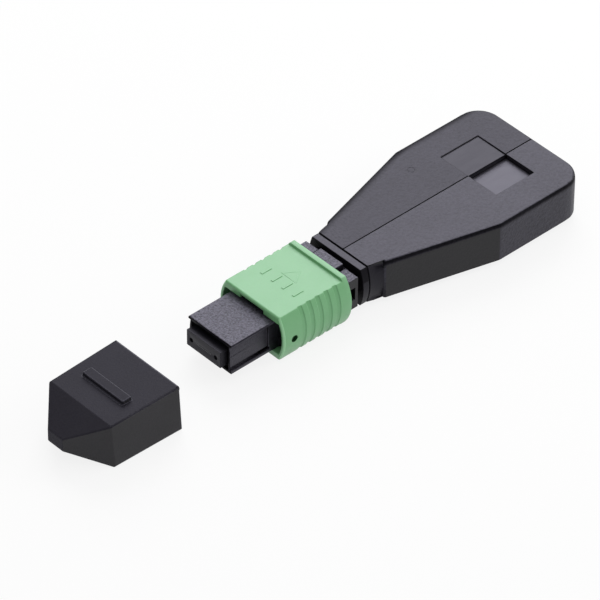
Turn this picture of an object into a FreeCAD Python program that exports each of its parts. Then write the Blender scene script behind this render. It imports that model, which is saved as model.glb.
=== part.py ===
"""MPO fibre loopback plug and its dust cap.

The plug looks towards -X. The origin is the centre of the ferrule's end face, +X runs back
through the plug and +Z is up. Sizes are millimetres. Each piece is one solid:
nose and sleeve at the front, two housing halves behind, springs and fibre loops inside.
"""
import FreeCAD, Part
import enum
import math
import os
import Sketcher

Vector = FreeCAD.Vector

SIZES = {
    # optical ferrule
    "ferrule_width": 6.4,
    "ferrule_height": 2.5,
    "ferrule_body_length": 6.0,
    "ferrule_collar_length": 2.0,
    "ferrule_collar_width": 7.0,
    "ferrule_collar_height": 3.0,
    "guide_bore_radius": 0.35,
    "guide_pitch": 4.6,
    "resin_window_start": 2.2,
    "resin_window_length": 1.8,
    "resin_window_width": 3.0,
    # boot in the back of the ferrule
    "boot_width": 3.5,
    "boot_height": 1.3,
    "boot_start": 4.4,
    "boot_length": 4.6,
    "boot_fit": 0.08,
    "ribbon_slot_height": 0.42,
    # spacer behind the ferrule
    "clamp_length": 1.6,
    "clamp_gap": 0.05,
    # inner housing
    "ferrule_stand_out": 1.06,
    "nose_half_width": 4.07,
    "nose_half_height": 2.35,
    "nose_wall": 0.45,
    "nose_edge_round": 0.22,
    "mouth_side_wall": 0.6,
    "mouth_depth": 3.1,
    "ferrule_slide_gap": 0.06,
    "side_groove_depth": 0.5,
    "side_groove_height": 0.5,
    "side_groove_level": 1.35,
    "side_groove_stop": 7.57,
    "side_recess_depth": 0.2,
    "side_recess_stop": 7.4,
    "side_recess_top": 2.0,
    "key_half_width": 1.5,
    "key_start": 3.2,
    "body_start": 9.3,
    "body_half_width": 5.5,
    "body_end": 22.2,
    "rail_start": 11.0,
    "rear_block_start": 19.6,
    "pad_half_width": 4.95,
    "pad_half_height": 2.45,
    "pad_notch": 0.45,
    "pad_notch_depth": 0.7,
    "latch_window_start": 20.5,
    "latch_window_length": 1.2,
    "latch_window_half_height": 0.95,
    "cavity_half_width": 3.65,
    "cavity_half_height": 1.9,
    "channel_wall": 0.35,
    # coupling sleeve
    "sleeve_start": 8.25,
    "sleeve_end": 20.07,
    "sleeve_flat_half_width": 5.1,
    "sleeve_half_height": 3.5,
    "sleeve_half_width": 6.15,
    "sleeve_wall": 0.5,
    "sleeve_lip": 1.3,
    "sleeve_bevel": 0.35,
    "sleeve_ridge_length": 0.87,
    "sleeve_ridge_height": 0.35,
    "sleeve_gap": 0.1,
    "rail_half_width": 2.12,
    "rail_half_height": 2.95,
    "grip_first": 11.32,
    "grip_pitch": 1.56,
    "grip_count": 5,
    "grip_width": 1.0,
    "grip_depth": 0.2,
    "grip_floor_width": 0.5,
    "grip_sweep": 120.0,
    "side_hole_centre": 10.1,
    "side_hole_level": 0.4,
    "side_hole_radius": 0.5,
    "ledge_start": 10.2,
    "ledge_length": 1.1,
    "ledge_half_height": 0.8,
    # springs
    "sleeve_spring_radius": 0.52,
    "sleeve_spring_wire": 0.22,
    "sleeve_spring_turns": 8,
    "sleeve_spring_offset": 4.72,
    "ferrule_spring_radius": 1.8,
    "ferrule_spring_wire": 0.36,
    "ferrule_spring_turns": 5,
    "sleeve_coil_segments": 12,
    "ferrule_coil_segments": 16,
    "spring_seat_gap": 0.04,
    # spring push
    "rim_start": 22.9,
    "rim_length": 1.09,
    "neck_flat_half_width": 4.6,
    "neck_half_width": 5.2,
    "flare_start": 24.9,
    "flare_flat_half_width": 4.85,
    "flare_half_width": 5.32,
    "push_start": 17.0,
    "push_fit": 0.12,
    "arm_slit": 0.5,
    "arm_length": 4.2,
    "hook_reach": 0.65,
    "hook_gap": 0.1,
    "hook_land": 0.4,
    "tail_half_width": 3.2,
    "tail_half_height": 1.6,
    "tail_length": 4.4,
    "collar_reach": 0.7,
    "collar_start": 2.2,
    "collar_length": 1.1,
    "fibre_way_half_width": 1.75,
    "fibre_way_half_height": 0.5,
    # loop housing
    "joint_gap": 0.06,
    "rim_gap": 0.12,
    "taper_start": 26.3,
    "taper_start_half_width": 5.43,
    "taper_front_round": 0.35,
    "bend": 42.7,
    "housing_half_width": 9.93,
    "housing_end": 57.87,
    "housing_half_height": 2.95,
    "housing_wall": 1.2,
    "taper_inset": 1.25,
    "housing_corner": 3.4,
    "housing_bend_round": 1.5,
    "housing_edge_round": 0.45,
    "neck_overlap": 1.2,
    "seam_gap": 0.03,
    "label_start": 46.45,
    "label_end": 53.24,
    "label_half_width": 5.18,
    "label_depth_left": 0.4,
    "label_depth_right": 0.6,
    "label_land": 0.12,
    "post_front": 38.5,
    "post_back": 48.6,
    "post_half_width": 1.4,
    "peg_radius": 0.55,
    "peg_length": 0.9,
    "peg_fit": 0.06,
    # fibre loops
    "fibre_half_width": 0.1,
    "fibre_pitch": 0.25,
    "loop_count": 6,
    "loop_centre": 48.6,
    "loop_inner_radius": 4.7,
    "loop_step": 0.5,
    "loop_spread": 31.5,
    "loop_bend": 12.0,
    # dust cap
    "cap_mouth": -9.45,
    "cap_straight": 11.05,
    "cap_taper": 4.3,
    "cap_mouth_half_width": 6.3,
    "cap_mouth_height": 6.95,
    "cap_shoulder_half_width": 6.05,
    "cap_shoulder_height": 6.7,
    "cap_side_draft": 3.3,
    "cap_floor": 3.85,
    "cap_tip_half_width": 1.4,
    "cap_tip_height": 2.0,
    "cap_tip_level": -0.75,
    "cap_edge_round": 0.3,
    "cap_cavity_half_width": 5.1,
    "cap_fit": 0.1,
    "cap_cavity_depth": 7.5,
    "cap_pocket_depth": 9.2,
    "cap_grip_rib": 0.6,
    "cap_bar_offset": 3.6,
    "cap_bar_width": 1.5,
    "cap_bar_length": 7.7,
    "cap_bar_height": 0.55,
    "cap_bar_root": 0.1,
}

# the closed outline of a square section
SQUARE = ((1, 1), (-1, 1), (-1, -1), (1, -1), (1, 1))

doc = FreeCAD.newDocument("LoopbackPlug")


class Corner(enum.IntEnum):
    """How a swept section turns from one run of its path to the next."""

    RIGHT = 1


class Dim:
    """A length with its number and the FreeCAD expression that gives it."""

    def __init__(self, value, text=None):
        self.value = float(value)
        self.text = text if text is not None else repr(float(value))

    def _join(self, other, sign, value):
        other = as_dim(other)
        return Dim(value(self.value, other.value), "(%s %s %s)" % (self.text, sign, other.text))

    def __add__(self, other):
        return self._join(other, "+", lambda a, b: a + b)

    def __sub__(self, other):
        return self._join(other, "-", lambda a, b: a - b)

    def __mul__(self, other):
        return self._join(other, "*", lambda a, b: a * b)

    def __truediv__(self, other):
        return self._join(other, "/", lambda a, b: a / b)

    def __neg__(self):
        return Dim(-self.value, "(-1 * %s)" % self.text)

    __radd__ = __add__
    __rmul__ = __mul__


def as_dim(size):
    """Numbers become Dims, and Dims stay as they are."""
    return size if isinstance(size, Dim) else Dim(size)


class Sheet:
    """Reads the spreadsheet's cells as Dims, by alias."""

    def __getattr__(self, alias):
        return Dim(doc.Sizes.get(alias), "Sizes." + alias)


size = Sheet()


def fill_sheet():
    """Put every driving size into the spreadsheet, with its alias."""
    sheet = doc.addObject("Spreadsheet::Sheet", "Sizes")
    for row, (alias, value) in enumerate(SIZES.items(), start=1):
        sheet.set("A%d" % row, alias)
        sheet.set("B%d" % row, str(value))
        sheet.setAlias("B%d" % row, alias)
    doc.recompute()


# ---------------------------------------------------------------- sketches and features

def new_body(name):
    """A PartDesign body whose label is the piece's name."""
    body = doc.addObject("PartDesign::Body", name)
    body.Label = name
    return body


def new_sketch(body, name, role, offset):
    """A sketch on one of the body's own origin planes, moved along the plane's normal."""
    plane = next(item for item in body.Origin.OriginFeatures if item.Role == role)
    sketch = body.newObject("Sketcher::SketchObject", name)
    sketch.AttachmentSupport = [(plane, "")]
    sketch.MapMode = "FlatFace"
    offset = as_dim(offset)
    sketch.AttachmentOffset = FreeCAD.Placement(Vector(0, 0, offset.value), FreeCAD.Rotation())
    sketch.setExpression("AttachmentOffset.Base.z", offset.text)
    return sketch


def bind(sketch, index, name, dim):
    """Name a constraint and give it its expression."""
    sketch.renameConstraint(index, name)
    sketch.setExpression("Constraints." + name, dim.text)


def draw_outline(sketch, corners, arcs=None, tag=""):
    """Closed outline through corners; arcs gives the radius of an edge that bulges outwards."""
    arcs = arcs or {}
    corners = [(as_dim(u), as_dim(v)) for u, v in corners]
    points = [Vector(u.value, v.value, 0) for u, v in corners]
    turn = sum(a.x * b.y - b.x * a.y for a, b in zip(points, points[1:] + points[:1]))
    first = sketch.GeometryCount
    total = len(points)
    for index, start in enumerate(points):
        stop = points[(index + 1) % total]
        if index in arcs:
            radius = as_dim(arcs[index]).value
            chord = stop - start
            out = Vector(chord.y, -chord.x, 0) * (1 if turn > 0 else -1)
            out.normalize()
            rise = radius - math.sqrt(radius ** 2 - (chord.Length / 2) ** 2)
            middle = (start + stop) / 2 + out * rise
            sketch.addGeometry(Part.Arc(start, middle, stop), False)
        else:
            sketch.addGeometry(Part.LineSegment(start, stop), False)
    for index in range(total):
        edge = first + index
        after = first + (index + 1) % total
        here, there = end_points(sketch, edge, points[index])
        next_here, _ = end_points(sketch, after, points[(index + 1) % total])
        sketch.addConstraint(Sketcher.Constraint("Coincident", edge, there, after, next_here))
        for axis, dim in (("X", corners[index][0]), ("Y", corners[index][1])):
            kind = "Distance" + axis
            added = sketch.addConstraint(Sketcher.Constraint(kind, -1, 1, edge, here, dim.value))
            bind(sketch, added, "corner%s%d%s" % (tag, index, axis), dim)
        if index in arcs:
            radius = as_dim(arcs[index])
            added = sketch.addConstraint(Sketcher.Constraint("Radius", edge, radius.value))
            bind(sketch, added, "radius%s%d" % (tag, index), radius)


def end_points(sketch, edge, start):
    """Which of an edge's two ends lies at start, as (that end, other end)."""
    near = sketch.getPoint(edge, 1).distanceToPoint(start)
    far = sketch.getPoint(edge, 2).distanceToPoint(start)
    return (1, 2) if near <= far else (2, 1)


def draw_circle(sketch, u, v, radius, tag=""):
    """A circle placed and sized by expressions."""
    u, v, radius = as_dim(u), as_dim(v), as_dim(radius)
    edge = sketch.addGeometry(Part.Circle(Vector(u.value, v.value, 0), Vector(0, 0, 1), radius.value), False)
    for kind, name, dim in (("DistanceX", "centreX", u), ("DistanceY", "centreY", v)):
        added = sketch.addConstraint(Sketcher.Constraint(kind, -1, 1, edge, 3, dim.value))
        bind(sketch, added, name + tag, dim)
    added = sketch.addConstraint(Sketcher.Constraint("Radius", edge, radius.value))
    bind(sketch, added, "size" + tag, radius)


def box_corners(low_u, high_u, low_v, high_v):
    """The corners of a rectangle."""
    return [(low_u, low_v), (high_u, low_v), (high_u, high_v), (low_u, high_v)]


def centred(half_u, half_v):
    """The corners of a rectangle about the sketch's origin."""
    return box_corners(-as_dim(half_u), half_u, -as_dim(half_v), half_v)


def pad(body, name, sketch, length):
    """Add material along the sketch's normal."""
    feature = body.newObject("PartDesign::Pad", name)
    feature.Profile = sketch
    feature.Length = as_dim(length).value
    feature.setExpression("Length", as_dim(length).text)
    body.Tip = feature
    return feature


def pocket(body, name, sketch, length):
    """Remove material along the sketch's normal."""
    feature = body.newObject("PartDesign::Pocket", name)
    feature.Profile = sketch
    feature.Reversed = True
    feature.Length = as_dim(length).value
    feature.setExpression("Length", as_dim(length).text)
    body.Tip = feature
    return feature


def add_block(body, name, role, start, stop, corners, arcs=None):
    """Pad an outline from one place to another along a plane's normal."""
    sketch = new_sketch(body, name + "Sketch", role, start)
    draw_outline(sketch, corners, arcs)
    return pad(body, name, sketch, as_dim(stop) - start)


def cut_block(body, name, role, start, stop, corners, arcs=None):
    """Cut an outline from one place to another along a plane's normal, and see that it cuts."""
    doc.recompute()
    before = body.Shape.Volume
    sketch = new_sketch(body, name + "Sketch", role, start)
    draw_outline(sketch, corners, arcs)
    feature = pocket(body, name, sketch, as_dim(stop) - start)
    doc.recompute()
    if body.Shape.Volume > before - 1e-6:
        raise RuntimeError("%s cuts nothing" % name)
    return feature


def edges_where(body, test):
    """The names of the body's edges whose bounding box passes a test."""
    doc.recompute()
    shape = body.Tip.Shape
    return ["Edge%d" % (n + 1) for n, edge in enumerate(shape.Edges) if test(edge.BoundBox)]


def dress(body, kind, name, test, radius):
    """Fillet or chamfer the edges that pass a test."""
    names = edges_where(body, test)
    if not names:
        raise RuntimeError("%s finds no edges" % name)
    base = body.Tip
    feature = body.newObject("PartDesign::" + kind, name)
    feature.Base = (base, names)
    prop = "Radius" if kind == "Fillet" else "Size"
    setattr(feature, prop, as_dim(radius).value)
    feature.setExpression(prop, as_dim(radius).text)
    body.Tip = feature
    doc.recompute()
    return feature


def near(first, second):
    """Whether two coordinates are the same."""
    return abs(first - as_dim(second).value) < 1e-3


def flank_radius(flat, bulge, height):
    """The radius of a side that swells from the flat's edge out to the half width."""
    swell = bulge - flat
    return (height * height + swell * swell) / (swell * 2)


def flanked(flat, bulge, height):
    """Corners and side arcs of a section with a flat top and bottom and swelling sides."""
    corners = [(-flat, -height), (flat, -height), (flat, height), (-flat, height)]
    radius = flank_radius(flat, bulge, height)
    return corners, {1: radius, 3: radius}


# ---------------------------------------------------------------- optical core

def build_ferrule():
    """The moulded ferrule: body, rear collar, guide bores, resin window and boot socket."""
    body = new_body("mt_ferrule")
    half_width = size.ferrule_width / 2
    half_height = size.ferrule_height / 2
    back = size.ferrule_body_length + size.ferrule_collar_length
    add_block(body, "Front", "YZ_Plane", 0, size.ferrule_body_length, centred(half_width, half_height))
    add_block(body, "Collar", "YZ_Plane", size.ferrule_body_length, back,
              centred(size.ferrule_collar_width / 2, size.ferrule_collar_height / 2))
    cut_block(body, "BootSocket", "YZ_Plane", size.boot_start - size.boot_fit, back,
              centred(size.boot_width / 2 + size.boot_fit, size.boot_height / 2 + size.boot_fit))
    window_stop = size.resin_window_start + size.resin_window_length
    half_window = size.resin_window_width / 2
    cut_block(body, "ResinWindow", "XY_Plane", size.ribbon_slot_height / -2, half_height,
              box_corners(size.resin_window_start, window_stop, -half_window, half_window))
    sketch = new_sketch(body, "GuideBoreSketch", "YZ_Plane", 0)
    for tag, side in (("Left", 1), ("Right", -1)):
        draw_circle(sketch, size.guide_pitch / 2 * side, 0, size.guide_bore_radius, tag)
    pocket(body, "GuideBores", sketch, back)
    return body


def build_boot():
    """The rubber boot that carries the fibres into the ferrule."""
    body = new_body("ferrule_boot")
    stop = size.boot_start + size.boot_length
    add_block(body, "Block", "YZ_Plane", size.boot_start, stop,
              centred(size.boot_width / 2, size.boot_height / 2))
    cut_block(body, "RibbonSlot", "YZ_Plane", size.boot_start, stop,
              centred(ribbon_half_width(), size.ribbon_slot_height / 2))
    return body


def ribbon_half_width():
    """Half the width that the row of fibres needs, with room on both sides."""
    return size.fibre_pitch * (size.loop_count - 0.5) + size.fibre_half_width + size.boot_fit


def clamp_start():
    """Front face of the spacer."""
    return size.ferrule_body_length + size.ferrule_collar_length + size.clamp_gap


def build_clamp():
    """The spacer that a plug without pins has behind its ferrule, with a seat for the spring."""
    body = new_body("pin_clamp")
    start = clamp_start()
    stop = start + size.clamp_length
    add_block(body, "Plate", "YZ_Plane", start, stop,
              centred(size.ferrule_collar_width / 2, size.ferrule_collar_height / 2))
    cut_block(body, "BootWay", "YZ_Plane", start, stop,
              centred(size.boot_width / 2 + size.boot_fit, size.boot_height / 2 + size.boot_fit))
    sketch = new_sketch(body, "PinWaySketch", "YZ_Plane", start)
    for tag, side in (("Left", 1), ("Right", -1)):
        draw_circle(sketch, size.guide_pitch / 2 * side, 0, size.guide_bore_radius, tag)
    pocket(body, "PinWays", sketch, size.clamp_length)
    return body


def build_spring(name, start, stop, offset, radius, wire, turns, segments):
    """A coil spring along X, from one seat to the other: square wire bent round in short runs."""
    length = (stop - start - size.spring_seat_gap * 2 - wire * 2).value
    first = (start + size.spring_seat_gap + wire).value
    middle = as_dim(offset).value
    reach = radius.value
    steps = int(turns.value) * int(segments.value)
    points = []
    for step in range(steps + 1):
        angle = math.tau * step / int(segments.value)
        points.append(Vector(first + length * step / steps, middle + reach * math.sin(angle),
                             -reach * math.cos(angle)))
    along = (points[1] - points[0]).normalize()
    across = along.cross(Vector(0, 0, -1)).normalize()
    away = across.cross(along)
    half = wire.value / 2
    corners = [points[0] + across * (u * half) + away * (v * half) for u, v in SQUARE]
    spring = doc.addObject("Part::Feature", name)
    spring.Label = name
    spring.Shape = Part.makePolygon(points).makePipeShell([Part.makePolygon(corners)], True, False,
                                                          Corner.RIGHT)
    return spring


def loop_path(number):
    """Centre line of one fibre: in along one side, round the loop and back along the other."""
    row = (size.fibre_pitch * (number - 0.5)).value
    radius = (size.loop_inner_radius + size.loop_step * (number - 1)).value
    centre = size.loop_centre.value
    corner = size.loop_spread.value
    bend = size.loop_bend.value
    start = (size.boot_start + size.boot_fit).value
    reach = centre - corner
    slant = math.asin(radius / math.hypot(reach, row)) - math.atan2(row, reach)
    back = bend * math.tan(slant / 2)
    middle_turn = Vector(corner - back + bend * math.sin(slant / 2),
                         row + bend * (1 - math.cos(slant / 2)), 0)
    points = [
        Vector(start, row, 0),
        Vector(corner - back, row, 0),
        middle_turn,
        Vector(corner + back * math.cos(slant), row + back * math.sin(slant), 0),
        Vector(centre - radius * math.sin(slant), radius * math.cos(slant), 0),
    ]
    mirrored = [Vector(point.x, -point.y, 0) for point in points]
    return Part.Wire([
        Part.LineSegment(points[0], points[1]).toShape(),
        Part.Arc(points[1], points[2], points[3]).toShape(),
        Part.LineSegment(points[3], points[4]).toShape(),
        Part.Arc(points[4], Vector(centre + radius, 0, 0), mirrored[4]).toShape(),
        Part.LineSegment(mirrored[4], mirrored[3]).toShape(),
        Part.Arc(mirrored[3], mirrored[2], mirrored[1]).toShape(),
        Part.LineSegment(mirrored[1], mirrored[0]).toShape(),
    ])


def build_fibre_loop(number):
    """One coated fibre, swept along its loop."""
    name = "fibre_loop_%d" % number
    path = loop_path(number)
    start = path.Vertexes[0].Point
    half = size.fibre_half_width.value
    ring = Part.makePolygon([start + Vector(0, u * half, v * half) for u, v in SQUARE])
    fibre = doc.addObject("Part::Feature", name)
    fibre.Label = name
    fibre.Shape = path.makePipeShell([ring], True, False)
    fibre.Placement = FreeCAD.Placement()
    return fibre


# ---------------------------------------------------------------- inner housing and sleeve

def build_inner_housing():
    """Nose, key, rails, spring channels, rear pads and latch windows in one moulding."""
    body = new_body("inner_housing")
    front = size.ferrule_stand_out
    add_block(body, "Nose", "YZ_Plane", front, size.body_start,
              centred(size.nose_half_width, size.nose_half_height))
    corners, arcs = flanked(size.nose_half_width, size.body_half_width, size.nose_half_height)
    add_block(body, "MidBody", "YZ_Plane", size.body_start, size.rear_block_start, corners, arcs)
    add_block(body, "RearBlock", "YZ_Plane", size.rear_block_start, size.body_end,
              centred(size.pad_half_width, size.pad_half_height))
    add_block(body, "Rails", "YZ_Plane", size.rail_start, size.body_end,
              centred(size.rail_half_width, size.rail_half_height))
    add_block(body, "Key", "YZ_Plane", size.key_start, size.rail_start,
              box_corners(-size.key_half_width, size.key_half_width, -size.rail_half_height,
                          -size.nose_half_height))
    cut_nose_details(body, front)
    cut_channels(body)
    cut_rear_details(body)
    cut_bore(body, front)
    dress(body, "Fillet", "NoseEdges",
          lambda box: near(box.XMin, front) and near(box.XMax, front)
          and box.ZMax > size.nose_half_height.value - 1e-3 and box.YLength > 1.0,
          size.nose_edge_round)
    return body


def cut_nose_details(body, front):
    """The groove low on each side of the nose and the shallow recess between it and the top."""
    for name, side in (("Left", 1), ("Right", -1)):
        outside = size.nose_half_width * side
        groove_floor = (size.nose_half_width - size.side_groove_depth) * side
        low = -size.side_groove_level - size.side_groove_height
        corners = box_corners(outside, groove_floor, low, -size.side_groove_level)
        cut_block(body, "Groove" + name, "YZ_Plane", front, size.side_groove_stop, corners)
        floor = (size.nose_half_width - size.side_recess_depth) * side
        cut_block(body, "SideRecess" + name, "YZ_Plane", front, size.side_recess_stop,
                  box_corners(outside, floor, -size.side_groove_level, size.side_recess_top))


def cut_channels(body):
    """An open channel on each side for the sleeve's return spring and the sleeve's ledge."""
    half = size.ledge_half_height + size.sleeve_gap
    inside = size.cavity_half_width + size.channel_wall
    for name, side in (("Left", 1), ("Right", -1)):
        cut_block(body, "Channel" + name, "YZ_Plane", size.body_start, size.rear_block_start,
                  box_corners(inside * side, size.sleeve_half_width * side, -half, half))


def cut_rear_details(body):
    """The notches beside the rails and the windows for the spring push's hooks."""
    depth = size.pad_half_height - size.pad_notch_depth
    for name, side, level in (("TopLeft", 1, 1), ("TopRight", -1, 1), ("LowLeft", 1, -1),
                              ("LowRight", -1, -1)):
        near_edge = size.rail_half_width * side
        far_edge = (size.rail_half_width + size.pad_notch) * side
        cut_block(body, "Notch" + name, "YZ_Plane", size.rear_block_start, size.body_end,
                  box_corners(near_edge, far_edge, depth * level, size.pad_half_height * level))
    stop = size.latch_window_start + size.latch_window_length
    half = size.latch_window_half_height
    cut_block(body, "LatchWindows", "XY_Plane", -half, half,
              box_corners(size.latch_window_start, stop, -size.pad_half_width, size.pad_half_width))


def cut_bore(body, front):
    """The stepped way through: mouth, ferrule throat, and the chamber behind it."""
    mouth_width = size.nose_half_width - size.mouth_side_wall
    mouth_height = size.nose_half_height - size.nose_wall
    cut_block(body, "Mouth", "YZ_Plane", front, front + size.mouth_depth,
              centred(mouth_width, mouth_height))
    gap = size.ferrule_slide_gap
    cut_block(body, "Throat", "YZ_Plane", front, size.ferrule_body_length - gap,
              centred(size.ferrule_width / 2 + gap, size.ferrule_height / 2 + gap))
    cut_block(body, "Chamber", "YZ_Plane", size.ferrule_body_length - gap, size.body_end,
              centred(size.cavity_half_width, size.cavity_half_height))
    sketch = new_sketch(body, "SpringBoreSketch", "YZ_Plane", clamp_start())
    draw_circle(sketch, 0, 0, size.ferrule_spring_radius + size.ferrule_spring_wire / 2 + gap * 2)
    pocket(body, "SpringBore", sketch, size.push_start - clamp_start())


def build_sleeve():
    """The pull-back sleeve: flat top and bottom, swelling ribbed sides, and a ridge at its back."""
    body = new_body("coupling_sleeve")
    start, stop = size.sleeve_start, size.sleeve_end
    flat, swell, height = size.sleeve_flat_half_width, size.sleeve_half_width, size.sleeve_half_height
    corners, arcs = flanked(flat, swell, height)
    add_block(body, "Shell", "YZ_Plane", start, stop, corners, arcs)
    ridge = height + size.sleeve_ridge_height
    add_block(body, "Ridge", "YZ_Plane", stop - size.sleeve_ridge_length, stop, centred(flat, ridge))
    dress(body, "Chamfer", "FrontBevel",
          lambda box: near(box.XMin, start) and near(box.XMax, start), size.sleeve_bevel)
    cut_grip(body, "Left", 1)
    cut_grip(body, "Right", -1)
    wall = size.sleeve_wall
    lip_height = size.nose_half_height + size.sleeve_gap
    roof = size.rail_half_height + size.sleeve_gap
    corners, arcs = flanked(flat - wall, swell - wall, roof)
    cut_block(body, "Chamber", "YZ_Plane", start + size.sleeve_lip, stop, corners, arcs)
    corners, arcs = flanked(flat - wall, swell - wall, lip_height)
    cut_block(body, "Mouth", "YZ_Plane", start, start + size.sleeve_lip, corners, arcs)
    cut_block(body, "RailWay", "YZ_Plane", start, start + size.sleeve_lip,
              centred(size.rail_half_width + size.sleeve_gap, roof))
    for name, side in (("Left", 1), ("Right", -1)):
        inner = size.sleeve_spring_offset - size.sleeve_spring_radius - size.sleeve_spring_wire / 2
        half = size.ledge_half_height
        add_block(body, "Ledge" + name, "YZ_Plane", size.ledge_start,
                  size.ledge_start + size.ledge_length,
                  box_corners(inner * side, (swell - wall / 2) * side, -half, half))
        cut_side_hole(body, name, side)
    return body


def cut_grip(body, name, side):
    """Five finger grooves with sloping sides, turned about the axis of the swelling side."""
    doc.recompute()
    before = body.Shape.Volume
    radius = flank_radius(size.sleeve_flat_half_width, size.sleeve_half_width, size.sleeve_half_height)
    axis = (size.sleeve_half_width - radius) * side
    surface = size.sleeve_half_width * side
    outside = surface + size.grip_depth * side
    sketch = new_sketch(body, "Grip" + name + "Sketch", "XY_Plane", 0)
    half = size.grip_width / 2
    line = sketch.addGeometry(Part.LineSegment(Vector(size.grip_first.value, axis.value, 0),
                                               Vector(size.sleeve_end.value, axis.value, 0)), True)
    for end, along in ((1, size.grip_first), (2, size.sleeve_end)):
        for kind, dim in (("DistanceX", along), ("DistanceY", axis)):
            added = sketch.addConstraint(Sketcher.Constraint(kind, -1, 1, line, end, dim.value))
            bind(sketch, added, "axis%d%s" % (end, kind), dim)
    middle = size.grip_first + half
    floor = surface - size.grip_depth * side
    flat = size.grip_floor_width / 2
    draw_outline(sketch, [(middle - half, outside), (middle + half, outside), (middle + half, surface),
                          (middle + flat, floor), (middle - flat, floor), (middle - half, surface)],
                 tag=name)
    groove = body.newObject("PartDesign::Groove", "Grip" + name)
    groove.Profile = sketch
    groove.ReferenceAxis = (sketch, ["Axis0"])
    groove.Angle = size.grip_sweep.value
    groove.setExpression("Angle", size.grip_sweep.text)
    groove.Midplane = True
    body.Tip = groove
    doc.recompute()
    pattern = body.newObject("PartDesign::LinearPattern", "GripPattern" + name)
    pattern.Originals = [groove]
    along = next(item for item in body.Origin.OriginFeatures if item.Role == "X_Axis")
    pattern.Direction = (along, [""])
    pattern.Length = (size.grip_pitch * (size.grip_count - 1)).value
    pattern.setExpression("Length", (size.grip_pitch * (size.grip_count - 1)).text)
    pattern.Occurrences = int(size.grip_count.value)
    pattern.setExpression("Occurrences", size.grip_count.text)
    body.Tip = pattern
    doc.recompute()
    if body.Shape.Volume > before - 1e-3:
        raise RuntimeError("the grip cuts nothing")


def cut_side_hole(body, name, side):
    """The small round hole near the front of each side, which goes on into the ledge."""
    depth = size.sleeve_wall * 5
    # the XZ plane's normal is -Y
    outside = -size.sleeve_half_width if side > 0 else size.sleeve_half_width - depth
    sketch = new_sketch(body, "SideHole" + name + "Sketch", "XZ_Plane", outside)
    draw_circle(sketch, size.side_hole_centre, -size.side_hole_level, size.side_hole_radius)
    pocket(body, "SideHole" + name, sketch, depth)


# ---------------------------------------------------------------- spring push

def build_spring_push():
    """The rear piece: spring seat, hooked arms, rim and the tail that the housing grips."""
    body = new_body("spring_push")
    fit = size.push_fit
    half_width = size.cavity_half_width - fit
    half_height = size.cavity_half_height - fit
    rim_stop = size.rim_start + size.rim_length
    tail_stop = rim_stop + size.tail_length
    add_block(body, "Tongue", "YZ_Plane", size.push_start, size.rim_start,
              centred(half_width, half_height))
    corners, arcs = flanked(size.neck_flat_half_width, size.neck_half_width, size.housing_half_height)
    add_block(body, "Rim", "YZ_Plane", size.rim_start, rim_stop, corners, arcs)
    add_block(body, "Tail", "YZ_Plane", rim_stop, tail_stop,
              centred(size.tail_half_width, size.tail_half_height))
    collar = rim_stop + size.collar_start
    add_block(body, "Collar", "YZ_Plane", collar, collar + size.collar_length,
              centred(size.tail_half_width + size.collar_reach, size.tail_half_height))
    add_hooks(body, half_width)
    cut_block(body, "FibreWay", "YZ_Plane", size.push_start, tail_stop,
              centred(size.fibre_way_half_width, size.fibre_way_half_height))
    for name, side in (("Left", 1), ("Right", -1)):
        outer = (half_width - size.arm_slit) * side
        inner = (half_width - size.arm_slit * 2) * side
        cut_block(body, "ArmSlit" + name, "XY_Plane", -half_height, half_height,
                  box_corners(size.rim_start - size.arm_length, size.rim_start, inner, outer))
    return body


def add_hooks(body, half_width):
    """A ramped hook on each arm, which snaps into the inner housing's window."""
    gap = size.hook_gap
    start = size.latch_window_start + gap
    stop = size.latch_window_start + size.latch_window_length - gap
    half = size.latch_window_half_height - gap
    for name, side in (("Left", 1), ("Right", -1)):
        root = (half_width - size.arm_slit / 2) * side
        tip = (half_width + size.hook_reach) * side
        corners = [(start, root), (stop, root), (stop, tip), (stop - size.hook_land, tip),
                   (start, half_width * side)]
        add_block(body, "Hook" + name, "XY_Plane", -half, half, corners)


# ---------------------------------------------------------------- loop housing

def build_housing_half(name, side):
    """One moulded half of the loop housing, with its share of the neck, posts and pegs."""
    body = new_body(name)
    high = size.housing_half_height
    seam = size.seam_gap * side
    wide, start, stop = size.housing_half_width * side, size.taper_start, size.housing_end
    front = size.taper_start_half_width * side
    outline = [(start, seam), (stop, seam), (stop, wide), (size.bend, wide), (start, front)]
    add_block(body, "Shell", "XY_Plane", -high, high, outline)
    dress(body, "Fillet", "BackCorner",
          lambda box: near(box.XMin, stop) and near(box.XMax, stop) and near(box.YMin, wide)
          and near(box.YMax, wide) and box.ZLength > 1, size.housing_corner)
    dress(body, "Fillet", "BendRound",
          lambda box: near(box.XMin, size.bend) and near(box.XMax, size.bend)
          and box.ZLength > 1, size.housing_bend_round)
    dress(body, "Fillet", "TaperFront",
          lambda box: near(box.XMin, start) and near(box.XMax, start) and near(box.YMin, front)
          and near(box.YMax, front) and box.ZLength > 1, size.taper_front_round)
    dress(body, "Fillet", "OuterEdges", lambda box: is_outer_edge(box, start, high, seam),
          size.housing_edge_round)
    add_neck_half(body, side, seam)
    cut_chamber(body, side, seam)
    cut_label(body, side, seam)
    add_posts(body, side, seam)
    return body


def is_outer_edge(box, start, high, seam):
    """Edges round the top and bottom faces, apart from the seam and the front."""
    level = near(box.ZMin, high) and near(box.ZMax, high)
    level = level or (near(box.ZMin, -high) and near(box.ZMax, -high))
    on_seam = near(box.YMin, seam) and near(box.YMax, seam)
    at_front = near(box.XMin, start) and near(box.XMax, start)
    return level and not on_seam and not at_front


def neck_corners(side, seam, flat):
    """The corners of half a neck section, whose second edge is the swelling side."""
    high = size.housing_half_height
    return [(seam, -high), (flat * side, -high), (flat * side, high), (seam, high)]


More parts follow.
